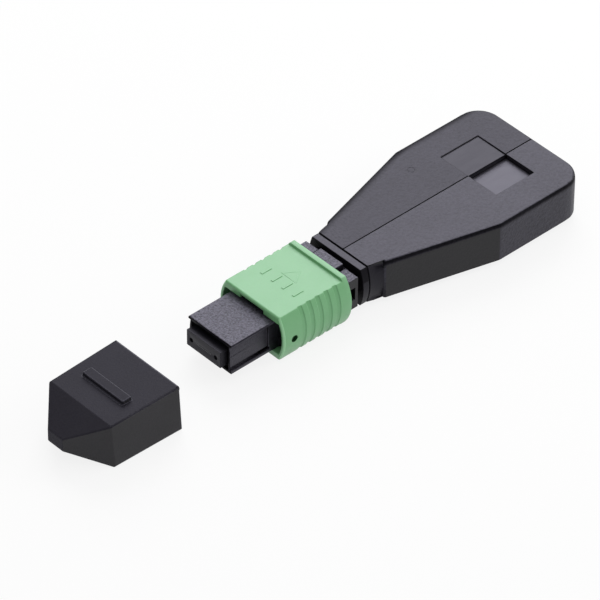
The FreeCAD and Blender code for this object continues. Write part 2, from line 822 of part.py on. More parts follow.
def add_neck_half(body, side, seam):
    """The neck: flat above and below, with a swelling side, and flared where it meets the taper."""
    flat = size.neck_flat_half_width
    high = size.housing_half_height
    radius = flank_radius(flat, size.neck_half_width, high)
    front = size.rim_start + size.rim_length + size.rim_gap
    add_block(body, "Neck", "YZ_Plane", front, size.taper_start + size.neck_overlap,
              neck_corners(side, seam, flat), {1: radius})
    narrow = new_sketch(body, "FlareStartSketch", "YZ_Plane", size.flare_start)
    draw_outline(narrow, neck_corners(side, seam, flat), {1: radius})
    flare_flat = size.flare_flat_half_width
    wide = new_sketch(body, "FlareStopSketch", "YZ_Plane", size.taper_start + size.neck_overlap / 2)
    draw_outline(wide, neck_corners(side, seam, flare_flat),
                 {1: flank_radius(flare_flat, size.flare_half_width, high)})
    doc.recompute()
    flare = body.newObject("PartDesign::AdditiveLoft", "Flare")
    flare.Profile = narrow
    flare.Sections = [wide]
    flare.Ruled = True
    body.Tip = flare
    doc.recompute()


def cut_chamber(body, side, seam):
    """The hollow for the loops and the pocket that grips the spring push's tail."""
    wall = size.housing_wall
    inner_high = size.housing_half_height - wall
    rim_stop = size.rim_start + size.rim_length
    front = rim_stop + size.tail_length + size.joint_gap
    slope = (size.housing_half_width - size.taper_start_half_width) / (size.bend - size.taper_start)
    front_width = size.taper_start_half_width + slope * (front - size.taper_start) - size.taper_inset
    corner = size.housing_corner - wall
    wide = size.housing_half_width - wall
    end = size.housing_end - wall
    outline = [(front, seam), (end, seam), (end, (wide - corner) * side),
               (end - corner, wide * side), (size.bend, wide * side), (front, front_width * side)]
    cut_block(body, "Chamber", "XY_Plane", -inner_high, inner_high, outline, {2: corner})
    fit = size.joint_gap
    half_high = size.tail_half_height + fit
    tail_wide = (size.tail_half_width + fit) * side
    entry = rim_stop
    cut_block(body, "TailPocket", "XY_Plane", -half_high, half_high,
              [(entry, seam), (front, seam), (front, tail_wide), (entry, tail_wide)])
    collar_wide = (size.tail_half_width + size.collar_reach + fit) * side
    collar = rim_stop + size.collar_start - fit
    collar_stop = collar + size.collar_length + fit * 2
    cut_block(body, "CollarPocket", "XY_Plane", -half_high, half_high,
              [(collar, seam), (collar_stop, seam), (collar_stop, collar_wide), (collar, collar_wide)])


def cut_label(body, side, seam):
    """The square recess for a label, deeper on the right half."""
    high = size.housing_half_height
    depth = size.label_depth_left if side > 0 else size.label_depth_right
    land = size.label_land if side < 0 else 0
    inner = (as_dim(land) * side) if side < 0 else seam
    corners = box_corners(size.label_start, size.label_end, inner, size.label_half_width * side)
    cut_block(body, "LabelRecess", "XY_Plane", high - depth, high, corners)


def add_posts(body, side, seam):
    """Two posts inside: the left half's carry pegs, the right half's carry the peg holes."""
    inner_high = size.housing_half_height - size.housing_wall
    half = size.post_half_width
    for tag, centre in (("Front", size.post_front), ("Back", size.post_back)):
        add_block(body, "Post" + tag, "XY_Plane", -inner_high, inner_high,
                  box_corners(centre - half, centre + half, seam, half * side))
        # the XZ plane's normal is -Y
        if side > 0:
            sketch = new_sketch(body, "Peg" + tag + "Sketch", "XZ_Plane", -half / 2)
            draw_circle(sketch, centre, 0, size.peg_radius)
            pad(body, "Peg" + tag, sketch, half / 2 + size.peg_length)
        else:
            sketch = new_sketch(body, "PegHole" + tag + "Sketch", "XZ_Plane", 0)
            draw_circle(sketch, centre, 0, size.peg_radius + size.peg_fit)
            pocket(body, "PegHole" + tag, sketch, size.peg_length + size.peg_fit * 2)


# ---------------------------------------------------------------- dust cap

def build_dust_cap():
    """The cap: drafted box, pyramid end with a blunt tip, a bar to pull on, and grip ribs inside."""
    body = new_body("dust_cap")
    mouth = size.cap_mouth
    shoulder = mouth - size.cap_straight
    tip = shoulder - size.cap_taper
    low = -size.cap_floor
    tip_low = size.cap_tip_level - size.cap_tip_height / 2
    tip_high = size.cap_tip_level + size.cap_tip_height / 2
    wide = size.cap_mouth_half_width
    # the XZ plane's normal is -Y
    add_block(body, "Case", "XZ_Plane", -wide, wide,
              [(mouth, low), (mouth, low + size.cap_mouth_height),
               (shoulder, low + size.cap_shoulder_height), (tip, tip_high), (tip, tip_low),
               (shoulder, low)])
    for name, side in (("Left", 1), ("Right", -1)):
        cut_block(body, "Flank" + name, "XY_Plane", low, low + size.cap_mouth_height,
                  [(mouth, wide * side), (shoulder, size.cap_shoulder_half_width * side),
                   (tip, size.cap_tip_half_width * side), (tip, wide * side)])
    lean_sides(body, shoulder)
    dress(body, "Fillet", "CapEdges", lambda box: not (near(box.XMin, mouth) and near(box.XMax, mouth)),
          size.cap_edge_round)
    cut_cap_hollow(body, mouth)
    add_cap_bar(body, shoulder, low)
    return body


def lean_sides(body, shoulder):
    """Draft both long sides, so that the case is wider at the bottom."""
    doc.recompute()
    base = body.Tip
    names = []
    for number, face in enumerate(base.Shape.Faces):
        box = face.BoundBox
        if near(box.XMin, shoulder) and box.ZLength > size.cap_tip_height.value and \
                box.YLength < size.cap_tip_half_width.value:
            names.append("Face%d" % (number + 1))
    draft = body.newObject("PartDesign::Draft", "SideDraft")
    draft.Base = (base, names)
    plane = next(item for item in body.Origin.OriginFeatures if item.Role == "XY_Plane")
    draft.NeutralPlane = (plane, [""])
    draft.Angle = size.cap_side_draft.value
    draft.setExpression("Angle", size.cap_side_draft.text)
    body.Tip = draft
    doc.recompute()


def cut_cap_hollow(body, mouth):
    """The hollow that goes over the nose, a deeper pocket for the ferrule, and the grip ribs."""
    fit = size.cap_fit
    floor = mouth - size.cap_cavity_depth
    high = size.nose_half_height + fit
    low = size.rail_half_height + fit
    cut_block(body, "Hollow", "YZ_Plane", floor, mouth,
              box_corners(-size.cap_cavity_half_width, size.cap_cavity_half_width, -low, high))
    cut_block(body, "FerrulePocket", "YZ_Plane", mouth - size.cap_pocket_depth, floor,
              centred(size.ferrule_width / 2 + fit * 2, size.ferrule_height / 2 + fit * 2))
    inner = size.nose_half_width + fit
    for level_name, level in (("High", 1), ("Low", -1)):
        middle = size.nose_half_height / 2 * level
        for name, side in (("Left", 1), ("Right", -1)):
            add_block(body, "Rib" + level_name + name, "YZ_Plane", floor, mouth - size.cap_grip_rib,
                      box_corners(inner * side, (size.cap_cavity_half_width + fit) * side,
                                  middle - size.cap_grip_rib / 2, middle + size.cap_grip_rib / 2))


def add_cap_bar(body, shoulder, low):
    """The raised bar across the top, standing on the sloping face."""
    slope = (size.cap_mouth_height - size.cap_shoulder_height) / size.cap_straight
    start = shoulder + size.cap_bar_offset
    stop = start + size.cap_bar_width
    base = low + size.cap_shoulder_height + slope * size.cap_bar_offset
    top = base + slope * size.cap_bar_width + size.cap_bar_height
    half = size.cap_bar_length / 2
    # the XZ plane's normal is -Y
    add_block(body, "Bar", "XZ_Plane", -half, half,
              [(start, base - size.cap_bar_root), (stop, base - size.cap_bar_root),
               (stop, top), (start, base + size.cap_bar_height)])


# ---------------------------------------------------------------- the whole plug

def build_all():
    """Every piece of the plug, in the order of its assembly."""
    pieces = [build_ferrule(), build_boot(), build_clamp()]
    ledge_stop = size.ledge_start + size.ledge_length
    for name, side in (("left", 1), ("right", -1)):
        pieces.append(build_spring("sleeve_spring_" + name, ledge_stop, size.rear_block_start,
                                   size.sleeve_spring_offset * side, size.sleeve_spring_radius,
                                   size.sleeve_spring_wire, size.sleeve_spring_turns,
                                   size.sleeve_coil_segments))
    pieces.append(build_spring("ferrule_spring", clamp_start() + size.clamp_length, size.push_start, 0,
                               size.ferrule_spring_radius, size.ferrule_spring_wire,
                               size.ferrule_spring_turns, size.ferrule_coil_segments))
    for number in range(1, int(size.loop_count.value) + 1):
        pieces.append(build_fibre_loop(number))
    pieces.append(build_inner_housing())
    pieces.append(build_sleeve())
    pieces.append(build_spring_push())
    pieces.append(build_housing_half("housing_half_left", 1))
    pieces.append(build_housing_half("housing_half_right", -1))
    pieces.append(build_dust_cap())
    return pieces


def check(pieces):
    """Stop if any object has failed or any piece isn't one valid solid."""
    for item in doc.Objects:
        if "Invalid" in item.State or "Error" in item.State:
            raise RuntimeError("%s has failed: %s" % (item.Name, item.State))
    for piece in pieces:
        shape = piece.Shape
        if shape.isNull() or not shape.isValid() or len(shape.Solids) != 1:
            raise RuntimeError("%s isn't one valid solid" % piece.Label)
        if shape.Volume <= 0:
            raise RuntimeError("%s is inside out" % piece.Label)


fill_sheet()
all_pieces = build_all()
doc.recompute()
check(all_pieces)
os.makedirs("parts", exist_ok=True)
for piece in all_pieces:
    piece.Shape.exportStep("parts/%s.step" % piece.Label)
    print("%-22s %9.3f mm3 %4d faces" % (piece.Label, piece.Shape.Volume, len(piece.Shape.Faces)))
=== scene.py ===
"""Dressed model of a fibre loopback plug and its dust cap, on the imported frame, in metres.

The plug looks towards -X with the centre of the ferrule's face at the origin, and Z is up. Each
sub-assembly is a class that makes its meshes, gives them their finish and seats them on a body.
Its sizes are in millimetres, which MM turns to metres.
"""
import logging
import math
from collections.abc import Iterator, Sequence
from contextlib import contextmanager
from dataclasses import dataclass
from enum import Enum
from functools import cache

import bmesh
import bpy
from mathutils import Matrix, Vector


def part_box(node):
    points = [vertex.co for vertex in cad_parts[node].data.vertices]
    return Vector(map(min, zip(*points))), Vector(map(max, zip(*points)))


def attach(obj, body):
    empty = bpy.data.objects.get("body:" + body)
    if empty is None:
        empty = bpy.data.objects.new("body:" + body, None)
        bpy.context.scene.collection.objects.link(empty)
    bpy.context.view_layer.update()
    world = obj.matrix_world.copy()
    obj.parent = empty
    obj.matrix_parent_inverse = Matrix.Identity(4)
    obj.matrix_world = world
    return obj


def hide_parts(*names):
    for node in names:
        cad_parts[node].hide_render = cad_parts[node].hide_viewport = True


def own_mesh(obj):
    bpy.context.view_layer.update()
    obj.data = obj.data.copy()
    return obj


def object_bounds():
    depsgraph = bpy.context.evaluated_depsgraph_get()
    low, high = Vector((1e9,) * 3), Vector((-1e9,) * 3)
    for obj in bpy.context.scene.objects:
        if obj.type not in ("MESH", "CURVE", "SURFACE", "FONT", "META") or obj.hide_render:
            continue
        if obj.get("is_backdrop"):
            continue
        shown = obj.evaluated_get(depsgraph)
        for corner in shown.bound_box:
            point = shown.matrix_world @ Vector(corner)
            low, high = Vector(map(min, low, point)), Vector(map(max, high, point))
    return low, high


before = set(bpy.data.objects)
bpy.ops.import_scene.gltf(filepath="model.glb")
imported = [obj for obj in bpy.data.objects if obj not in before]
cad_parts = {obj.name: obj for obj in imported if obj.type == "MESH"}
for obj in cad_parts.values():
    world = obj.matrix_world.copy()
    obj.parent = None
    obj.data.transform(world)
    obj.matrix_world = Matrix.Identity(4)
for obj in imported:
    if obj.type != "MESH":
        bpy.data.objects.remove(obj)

MM = 0.001
LEANING = 0.3  # a face whose normal goes further than this along an axis leans that way
FACING = 0.5  # from here on it looks that way
SQUARE = 0.9  # and from here on straight that way
SHARP = 28.0  # degrees from which the edge between two faces is softened
CREASE = 32.0  # degrees from which a cut edge stays sharp in the shading
Colour = tuple[float, float, float, float]
Point = tuple[float, float, float]
Outline = Sequence[tuple[float, float]]
Face = bpy.types.MeshPolygon
Material = bpy.types.Material
Mesh = bpy.types.Mesh
Node = bpy.types.Node
NodeTree = bpy.types.NodeTree
Piece = bpy.types.Object
Socket = bpy.types.NodeSocket
log = logging.getLogger("loopback_plug")


class Body(Enum):
    """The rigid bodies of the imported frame."""

    PLUG = "plug"
    SLEEVE = "sleeve"
    FERRULE = "ferrule"
    CAP = "cap"


class MouldFace(Enum):
    """How the mould's steel was finished, as the share of its grain's fineness left along X."""

    SPARKED = 1.0
    STONED = 0.12


# ---------------------------------------------------------------- finishes

def linear(code: str, light: float = 1.0) -> Colour:
    """Turn an sRGB hex colour into linear light.

    Args:
        code: Six hex digits after a hash.
        light: The share of that light to keep.

    Returns:
        Red, green, blue and an alpha of one.
    """
    parts = [int(code[i:i + 2], 16) / 255 for i in (1, 3, 5)]
    values = [v / 12.92 if v <= 0.04045 else ((v + 0.055) / 1.055) ** 2.4 for v in parts]
    return (values[0] * light, values[1] * light, values[2] * light, 1.0)


def add_node(tree: NodeTree, kind: str, inputs: dict | None = None, **settings: object) -> Node:
    """Add a node with its links and settings.

    Args:
        tree: The tree that gets the node.
        kind: The node's type.
        inputs: A value, or another node's output, for each input by name or number.
        settings: Properties of the node by name.

    Returns:
        The new node.
    """
    node = tree.nodes.new(kind)
    for name, value in settings.items():
        setattr(node, name, value)
    for name, value in (inputs or {}).items():
        if isinstance(value, Socket):
            tree.links.new(value, node.inputs[name])
        else:
            node.inputs[name].default_value = value
    return node


def empty_tree(owner: Material | bpy.types.World) -> NodeTree:
    """The owner's own node tree, with no nodes in it."""
    owner.use_nodes = True
    owner.node_tree.nodes.clear()
    return owner.node_tree


class Finish:
    """What a surface is made of. Its material is built once, when it is first asked for."""

    name: str

    def surface(self, tree: NodeTree, place: Socket) -> dict:
        """The inputs of the finish's shader.

        Args:
            tree: The material's tree.
            place: Object coordinates.

        Returns:
            A value or an output for each input by name.
        """
        raise NotImplementedError

    @cache
    def material(self) -> Material:
        """This finish's material."""
        material = bpy.data.materials.new(self.name)
        tree = empty_tree(material)
        place = add_node(tree, "ShaderNodeTexCoord").outputs["Object"]
        shader = add_node(tree, "ShaderNodeBsdfPrincipled", self.surface(tree, place))
        add_node(tree, "ShaderNodeOutputMaterial", {"Surface": shader.outputs["BSDF"]})
        return material


@dataclass(frozen=True)
class MouldedPlastic(Finish):
    """Injection-moulded plastic with the grain of its mould.

    A sparked mould leaves a matt grain that scatters the light, and a stoned one leaves faint
    lines. The colour drifts slowly where the melt flowed.
    """

    name: str
    colour: str
    drift_colour: str
    roughness: float = 0.5
    face: MouldFace = MouldFace.SPARKED
    # a sparked grain of about 0.05 mm is drawn coarser, or it wouldn't show
    grain: float = 0.3
    relief: float = 0.006
    drift: float = 7.0
    specular: float = 0.5
    speck: float = 0.1
    tint: str = "#E8E4FF"
    shade_edges: bool = False
    # painted shade near the long edges of the top, which dims its sheen there, each edge as its
    # direction outwards and its distance
    far_edge_shades: tuple[Point, ...] = ()
    far_edge_shade_width: float = 1.4
    marks: tuple[Point, ...] = ()
    mark_radius: float = 0.5
    mark_width: float = 0.1

    def surface(self, tree: NodeTree, place: Socket) -> dict:
        """The shader's inputs, as Finish says."""
        drift = add_node(tree, "ShaderNodeTexNoise", {
            "Vector": place, "Scale": 1 / (self.drift * MM), "Detail": 3.0, "Roughness": 0.55})
        blend = add_node(tree, "ShaderNodeMapRange", {
            "Value": drift.outputs["Fac"], "From Min": 0.35, "From Max": 0.65})
        base = add_node(tree, "ShaderNodeMix", {
            "Factor": blend.outputs["Result"], 6: linear(self.colour),
            7: linear(self.drift_colour)}, data_type="RGBA")
        laid = add_node(tree, "ShaderNodeMapping", {
            "Vector": place, "Scale": (self.face.value, 1.0, 1.0)})
        grain = add_node(tree, "ShaderNodeTexNoise", {
            "Vector": laid.outputs["Vector"], "Scale": 1 / (self.grain * MM), "Detail": 4.0,
            "Roughness": 0.6})
        speck = add_node(tree, "ShaderNodeMapRange", {
            "Value": grain.outputs["Fac"], "From Min": 0.3, "From Max": 0.7,
            "To Min": 1 - self.speck, "To Max": 1 + self.speck})
        rough = add_node(tree, "ShaderNodeMapRange", {
            "Value": grain.outputs["Fac"], "From Min": 0.3, "From Max": 0.7,
            "To Min": max(self.roughness - 0.06, 0.05), "To Max": self.roughness + 0.06})
        level = speck.outputs["Result"]
        colour = add_node(tree, "ShaderNodeVectorMath", {
            0: base.outputs[2], "Scale": level}, operation="SCALE").outputs["Vector"]
        if self.shade_edges:
            colour, level = self.add_edge_shade(tree, colour, level)
        level = self.add_far_edge_shades(tree, place, level)
        # the plain number comes last, where the export can read it
        shine = add_node(tree, "ShaderNodeMath", {0: level, 1: self.specular},
                         operation="MULTIPLY")
        bump = add_node(tree, "ShaderNodeBump", {
            "Height": self.add_marks(tree, place, grain.outputs["Fac"]), "Strength": 1.0,
            "Distance": self.relief * MM})
        return {"Base Color": colour, "Roughness": rough.outputs["Result"], "IOR": 1.5,
                "Specular IOR Level": shine.outputs[0], "Specular Tint": linear(self.tint),
                "Normal": bump.outputs["Normal"]}

    def add_edge_shade(self, tree: NodeTree, colour: Socket, level: Socket
                       ) -> tuple[Socket, Socket]:
        """Paint shade where a moulded edge turns from flat to upright, as a darker colour and a
        duller sheen.

        Args:
            tree: The finish's tree.
            colour: The colour of its flat faces.
            level: How strongly they mirror.

        Returns:
            The colour and the level with the shade.
        """
        facing = add_node(tree, "ShaderNodeTexCoord").outputs["Normal"]
        lift = add_node(tree, "ShaderNodeMath", {
            0: add_node(tree, "ShaderNodeSeparateXYZ", {0: facing}).outputs["Z"]},
            operation="ABSOLUTE").outputs[0]
        upright = add_node(tree, "ShaderNodeMapRange", {
            "Value": lift, "From Min": 0.0, "From Max": 0.2, "To Min": 1.0, "To Max": 0.0},
            interpolation_type="SMOOTHSTEP")
        flat = add_node(tree, "ShaderNodeMapRange", {
            "Value": lift, "From Min": 0.35, "From Max": 0.95}, interpolation_type="SMOOTHSTEP")
        keep = add_node(tree, "ShaderNodeMath", {
            0: upright.outputs["Result"], 1: flat.outputs["Result"]}, operation="ADD").outputs[0]
        dim = add_node(tree, "ShaderNodeMapRange", {"Value": keep, "To Min": 0.4})
        dull = add_node(tree, "ShaderNodeMapRange", {"Value": keep, "To Min": 0.1})
        # painted shade: the colour darkens and the sheen grows duller on the turn of the edge
        deep = add_node(tree, "ShaderNodeVectorMath", {
            0: colour, "Scale": dim.outputs["Result"]}, operation="SCALE")
        shaded = add_node(tree, "ShaderNodeMath", {
            0: level, 1: dull.outputs["Result"]}, operation="MULTIPLY")
        return deep.outputs["Vector"], shaded.outputs[0]

    def add_far_edge_shades(self, tree: NodeTree, place: Socket, level: Socket) -> Socket:
        """Paint shade near the long edges of the top by dimming its sheen there.

        Args:
            tree: The finish's tree.
            place: Object coordinates.
            level: How strongly the finish mirrors.

        Returns:
            The level with the painted shade.
        """
        for out_x, out_y, reach in self.far_edge_shades:
            along = add_node(tree, "ShaderNodeVectorMath", {
                0: place, 1: (out_x, out_y, 0.0)}, operation="DOT_PRODUCT")
            near = add_node(tree, "ShaderNodeMapRange", {
                "Value": along.outputs["Value"], "From Min": (reach - self.far_edge_shade_width) * MM,
                "From Max": reach * MM, "To Min": 1.0, "To Max": 0.0},
                interpolation_type="SMOOTHSTEP")
            level = add_node(tree, "ShaderNodeMath", {
                0: level, 1: near.outputs["Result"]}, operation="MULTIPLY").outputs[0]
        return level

    def add_marks(self, tree: NodeTree, place: Socket, height: Socket) -> Socket:
        """Add the ejector pins' faint rings to a height.

        Args:
            tree: The finish's tree.
            place: Object coordinates.
            height: The grain's height.

        Returns:
            The height with the rings.
        """
        for mark in self.marks:
            away = add_node(tree, "ShaderNodeVectorMath", {
                0: place, 1: tuple(v * MM for v in mark)}, operation="DISTANCE")
            off = add_node(tree, "ShaderNodeMath", {
                0: away.outputs["Value"], 1: self.mark_radius * MM}, operation="SUBTRACT")
            near = add_node(tree, "ShaderNodeMath", {0: off.outputs[0]}, operation="ABSOLUTE")
            ring = add_node(tree, "ShaderNodeMapRange", {
                "Value": near.outputs[0], "From Max": self.mark_width * MM, "To Min": -0.5,
                "To Max": 0.0})
            height = add_node(tree, "ShaderNodeMath", {
                0: height, 1: ring.outputs["Result"]}, operation="ADD").outputs[0]
        return height


@dataclass(frozen=True)
class DrawnThread(Finish):
    """Wire or coated fibre drawn through a die, which leaves faint streaks on it."""

    name: str
    colour: str
    streak_colour: str
    roughness: tuple[float, float]
    streak_light: float = 1.0
    streak: float = 0.8
    metallic: float = 0.0

    def surface(self, tree: NodeTree, place: Socket) -> dict:
        """The shader's inputs, as Finish says."""
        streak = add_node(tree, "ShaderNodeTexNoise", {
            "Vector": place, "Scale": 1 / (self.streak * MM), "Detail": 3.0}).outputs["Fac"]
        shade = add_node(tree, "ShaderNodeMix", {
            "Factor": streak, 6: linear(self.colour),
            7: linear(self.streak_colour, self.streak_light)}, data_type="RGBA")
        rough = add_node(tree, "ShaderNodeMapRange", {
            "Value": streak, "To Min": self.roughness[0], "To Max": self.roughness[1]})
        return {"Base Color": shade.outputs[2], "Metallic": self.metallic,
                "Roughness": rough.outputs["Result"]}


# black PBT from a sparked mould: matt with a fine grain, with painted shade where its edges turn
# and, on the left half, near its far edges; the right half is painted a little lighter and shinier
# than the left
HOUSING_LEFT = MouldedPlastic(
    "black_pbt_left", "#1A191E", "#232228", 0.47, relief=0.05, grain=0.4, specular=0.4, speck=0.3,
    shade_edges=True, marks=((41.74, 5.88, 2.95),),
    far_edge_shades=((-0.2646, 0.9644, -1.59), (0.0, 1.0, 10.07)))
HOUSING_RIGHT = MouldedPlastic(
    "black_pbt_right", "#1B1A1F", "#25242A", 0.45, relief=0.06, grain=0.4, specular=0.475,
    speck=0.3, shade_edges=True)
NOSE = MouldedPlastic(
    "black_pbt_nose", "#1D1C21", "#252429", 0.42, relief=0.14, speck=0.6, specular=1.0,
    shade_edges=True)
# its upright walls, inner walls and edges take painted shade as darker, duller copies of its tops,
# and the edge copy also draws the seam's dark line; the nose's inside is a paler, duller copy,
# painted light in its shade
HOUSING_SIDE_SHADE = MouldedPlastic(
    "black_pbt_side_painted_shade", "#131214", "#171618", 0.45, grain=0.35, relief=0.03, specular=0.35,
    tint="#FAFAFF")
HOUSING_EDGE_SHADE = MouldedPlastic(
    "black_pbt_edge_painted_shade", "#0E0D10", "#131215", 0.5, relief=0.002, specular=0.08)
SIDE_SHADE = MouldedPlastic(
    "black_pbt_painted_side_shade", "#111014", "#17161A", 0.45, grain=0.35, relief=0.02, specular=0.22)
NOSE_SIDE_SHADE = MouldedPlastic(
    "black_pbt_nose_side_painted_shade", "#18171B", "#1E1D22", 0.42, relief=0.05, specular=0.52, speck=0.25)
NOSE_INSIDE_LIGHT = MouldedPlastic(
    "black_pbt_nose_inside_painted_light", "#2A292D", "#302F33", 0.6, grain=0.22, relief=0.004, specular=0.2)
PUSH = MouldedPlastic(
    "black_pbt_push", "#17161A", "#1E1D22", 0.46, grain=0.22, relief=0.03, specular=0.5)
# stoned label floors: flat and shinier, with a painted reflection that makes their colour paler,
# the right floor's more than the left's
LABEL_LEFT = MouldedPlastic(
    "black_pbt_label_left", "#1D1C20", "#232226", 0.46, MouldFace.STONED, grain=0.25, relief=0.002,
    specular=0.43)
LABEL_RIGHT = MouldedPlastic(
    "black_pbt_label_right", "#252428", "#2C2B30", 0.42, MouldFace.STONED, grain=0.25,
    relief=0.002, specular=0.66)
# mint PBT from a fine sparked mould: satin and even, with a painted highlight round its mouth and
# painted shade on the walls of its side holes
SLEEVE = MouldedPlastic(
    "mint_pbt", "#75B37B", "#79B67F", 0.39, relief=0.002, drift=5.0, speck=0.02, specular=0.62,
    tint="#F0F0FF")
SLEEVE_RIM_HIGHLIGHT = MouldedPlastic(
    "mint_pbt_rim_painted_highlight", "#98D49F", "#9CD8A3", 0.35, relief=0.001, speck=0.02, specular=0.6,
    tint="#FFFFFF")
SLEEVE_HOLE_SHADE = MouldedPlastic(
    "mint_pbt_hole_painted_shade", "#24502B", "#28562F", 0.5, relief=0.001, specular=0.2)
# black polyethylene: waxy, so duller than the PBT; its sides and the upward faces of its sloping
# end are painted paler than its top, and its softened edges carry a painted highlight on a
# glossier finish
CAP = MouldedPlastic(
    "black_pe_cap", "#16151A", "#1B1A20", 0.66, relief=0.03, specular=0.33, speck=0.16)
CAP_SIDE_LIGHT = MouldedPlastic(
    "black_pe_cap_side_painted_light", "#29282A", "#2D2C2F", 0.62, relief=0.02, specular=0.38, tint="#FAFAFF")
CAP_TAPER_LIGHT = MouldedPlastic(
    "black_pe_cap_taper_painted_light", "#211F25", "#26252A", 0.66, relief=0.02, specular=0.33)
CAP_EDGE_HIGHLIGHT = MouldedPlastic("black_pe_edge_painted_highlight", "#212026", "#26252B", 0.45, relief=0.002, specular=0.45)
# glass-filled PPS, ground and polished: dense and almost without grain
FERRULE = MouldedPlastic(
    "glass_filled_pps", "#131216", "#18171B", 0.4, grain=0.12, relief=0.002, specular=0.21)
# moulded rubber: soft to the eye, with no gloss
BOOT = MouldedPlastic(
    "black_rubber_boot", "#1B1B1D", "#242427", 0.8, grain=0.1, relief=0.004, specular=0.3)
# grey PBT, as moulded
SPACER = MouldedPlastic("grey_pbt_spacer", "#4C4D50", "#55565A", grain=0.22, relief=0.004)
# drawn stainless wire: bright, with fine lines from the die
STEEL = DrawnThread(
    "drawn_stainless_wire", "#C8C6C2", "#9C9A97", (0.16, 0.36), streak=0.05, metallic=1.0)
# glass fibre in a thin acrylate coat: smooth and a little milky, with streaks of dye
FIBRE = DrawnThread(
    "aqua_acrylate_fibre", "#58B9B4", "#58B9B4", (0.22, 0.34), streak_light=0.82)
# glass polished flush with the ferrule: a dark, clean gloss
GLASS = DrawnThread(
    "polished_glass_end", "#4A4C52", "#4A4C52", (0.06, 0.18), streak_light=0.82)


# ---------------------------------------------------------------- meshes

def add_object(name: str, data: bpy.types.ID) -> Piece:
    """Put a mesh, curve, lamp or camera into the scene as an object."""
    thing = bpy.data.objects.new(name, data)
    bpy.context.scene.collection.objects.link(thing)
    return thing


def new_object(name: str, mesh: Mesh, *finishes: Finish) -> Piece:
    """Put a mesh into the scene under a name, with its finishes in slot order."""
    mesh.name = name
    mesh.materials.clear()
    for finish in finishes:
        mesh.materials.append(finish.material())
    return add_object(name, mesh)


def seat(piece: Piece, body: Body, slot: str, *nodes: str) -> Piece:
    """Let a finished piece ride on its body in place of CAD nodes.

    Args:
        piece: The finished piece.
        body: The body that carries it.
        slot: The record's material slot; not used.
        nodes: The CAD nodes that it stands for.

    Returns:
        The same piece.
    """
    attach(piece, body.value)
    if nodes:
        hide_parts(*nodes)
    log.info("%s rides on %s, %d faces", piece.name, body.value, len(piece.data.polygons))
    return piece


@contextmanager
def editing(mesh: Mesh) -> Iterator[bmesh.types.BMesh]:
    """Open a mesh for changes and write them back."""
    shape = bmesh.new()
    shape.from_mesh(mesh)
    yield shape
    shape.to_mesh(mesh)
    shape.free()


def solid_from(name: str, points: list[Point], faces: list[tuple[int, ...]]) -> Mesh:
    """A closed mesh with its faces turned outwards.

    Args:
        name: The mesh's name.
        points: Corners in metres.
        faces: Corner numbers of each face.

    Returns:
        The mesh.
    """
    mesh = bpy.data.meshes.new(name)
    mesh.from_pydata(points, [], faces)
    with editing(mesh) as shape:
        bmesh.ops.remove_doubles(shape, verts=shape.verts, dist=1e-8)
        bmesh.ops.recalc_face_normals(shape, faces=shape.faces)
    return mesh


def skin(name: str, rings: list[list[Point]]) -> Mesh:
    """A closed mesh through rings of points, with a face over the first and the last.

    Args:
        name: The mesh's name.
        rings: The rings in order, with the same number of points in each.

    Returns:
        The mesh.
    """
    count = len(rings[0])
    points = [(x * MM, y * MM, z * MM) for ring in rings for x, y, z in ring]
    last = len(points) - count
    faces: list[tuple[int, ...]] = []
    for first in range(0, last, count):
        for step in range(count):
            after = (step + 1) % count
            faces.append((first + step, first + after, first + count + after,
                          first + count + step))
    faces += [tuple(range(count)), tuple(reversed(range(last, last + count)))]
    return solid_from(name, points, faces)


def loft(name: str, stations: list[tuple[float, Outline]]) -> Mesh:
    """A closed skin through outlines in Y and Z, each at its own place along X."""
    return skin(name, [[(x, y, z) for y, z in outline] for x, outline in stations])


def bar_mesh(name: str, outline: Outline, low_y: float, high_y: float) -> Mesh:
    """An outline in X and Z drawn out along Y."""
    return skin(name, [[(x, y, z) for x, z in outline] for y in (low_y, high_y)])


def box_mesh(name: str, low: Point, high: Point) -> Mesh:
    """A box between two corners."""
    outline = [(low[0], low[2]), (high[0], low[2]), (high[0], high[2]), (low[0], high[2])]
    return bar_mesh(name, outline, low[1], high[1])


def quarter_turn(steps: int) -> Outline:
    """The sine and cosine at even steps through a right angle."""
    angles = [math.pi / 2 * step / steps for step in range(steps + 1)]
    return [(math.sin(angle), math.cos(angle)) for angle in angles]


def merged_mesh(node: str) -> Mesh:
    """A CAD node's mesh as one closed skin whose flat faces are whole again.

    Args:
        node: The CAD node's name.

    Returns:
        A new mesh in the same place.
    """
    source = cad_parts[node].data
    mesh = bpy.data.meshes.new(node + "_skin")
    mesh.from_pydata([v.co.copy() for v in source.vertices], [],
                     [tuple(p.vertices) for p in source.polygons])
    with editing(mesh) as shape:
        bmesh.ops.remove_doubles(shape, verts=shape.verts, dist=2e-7)
        bmesh.ops.dissolve_limit(shape, angle_limit=math.radians(0.6), verts=shape.verts,
                                 edges=shape.edges, delimit=set())
    return mesh


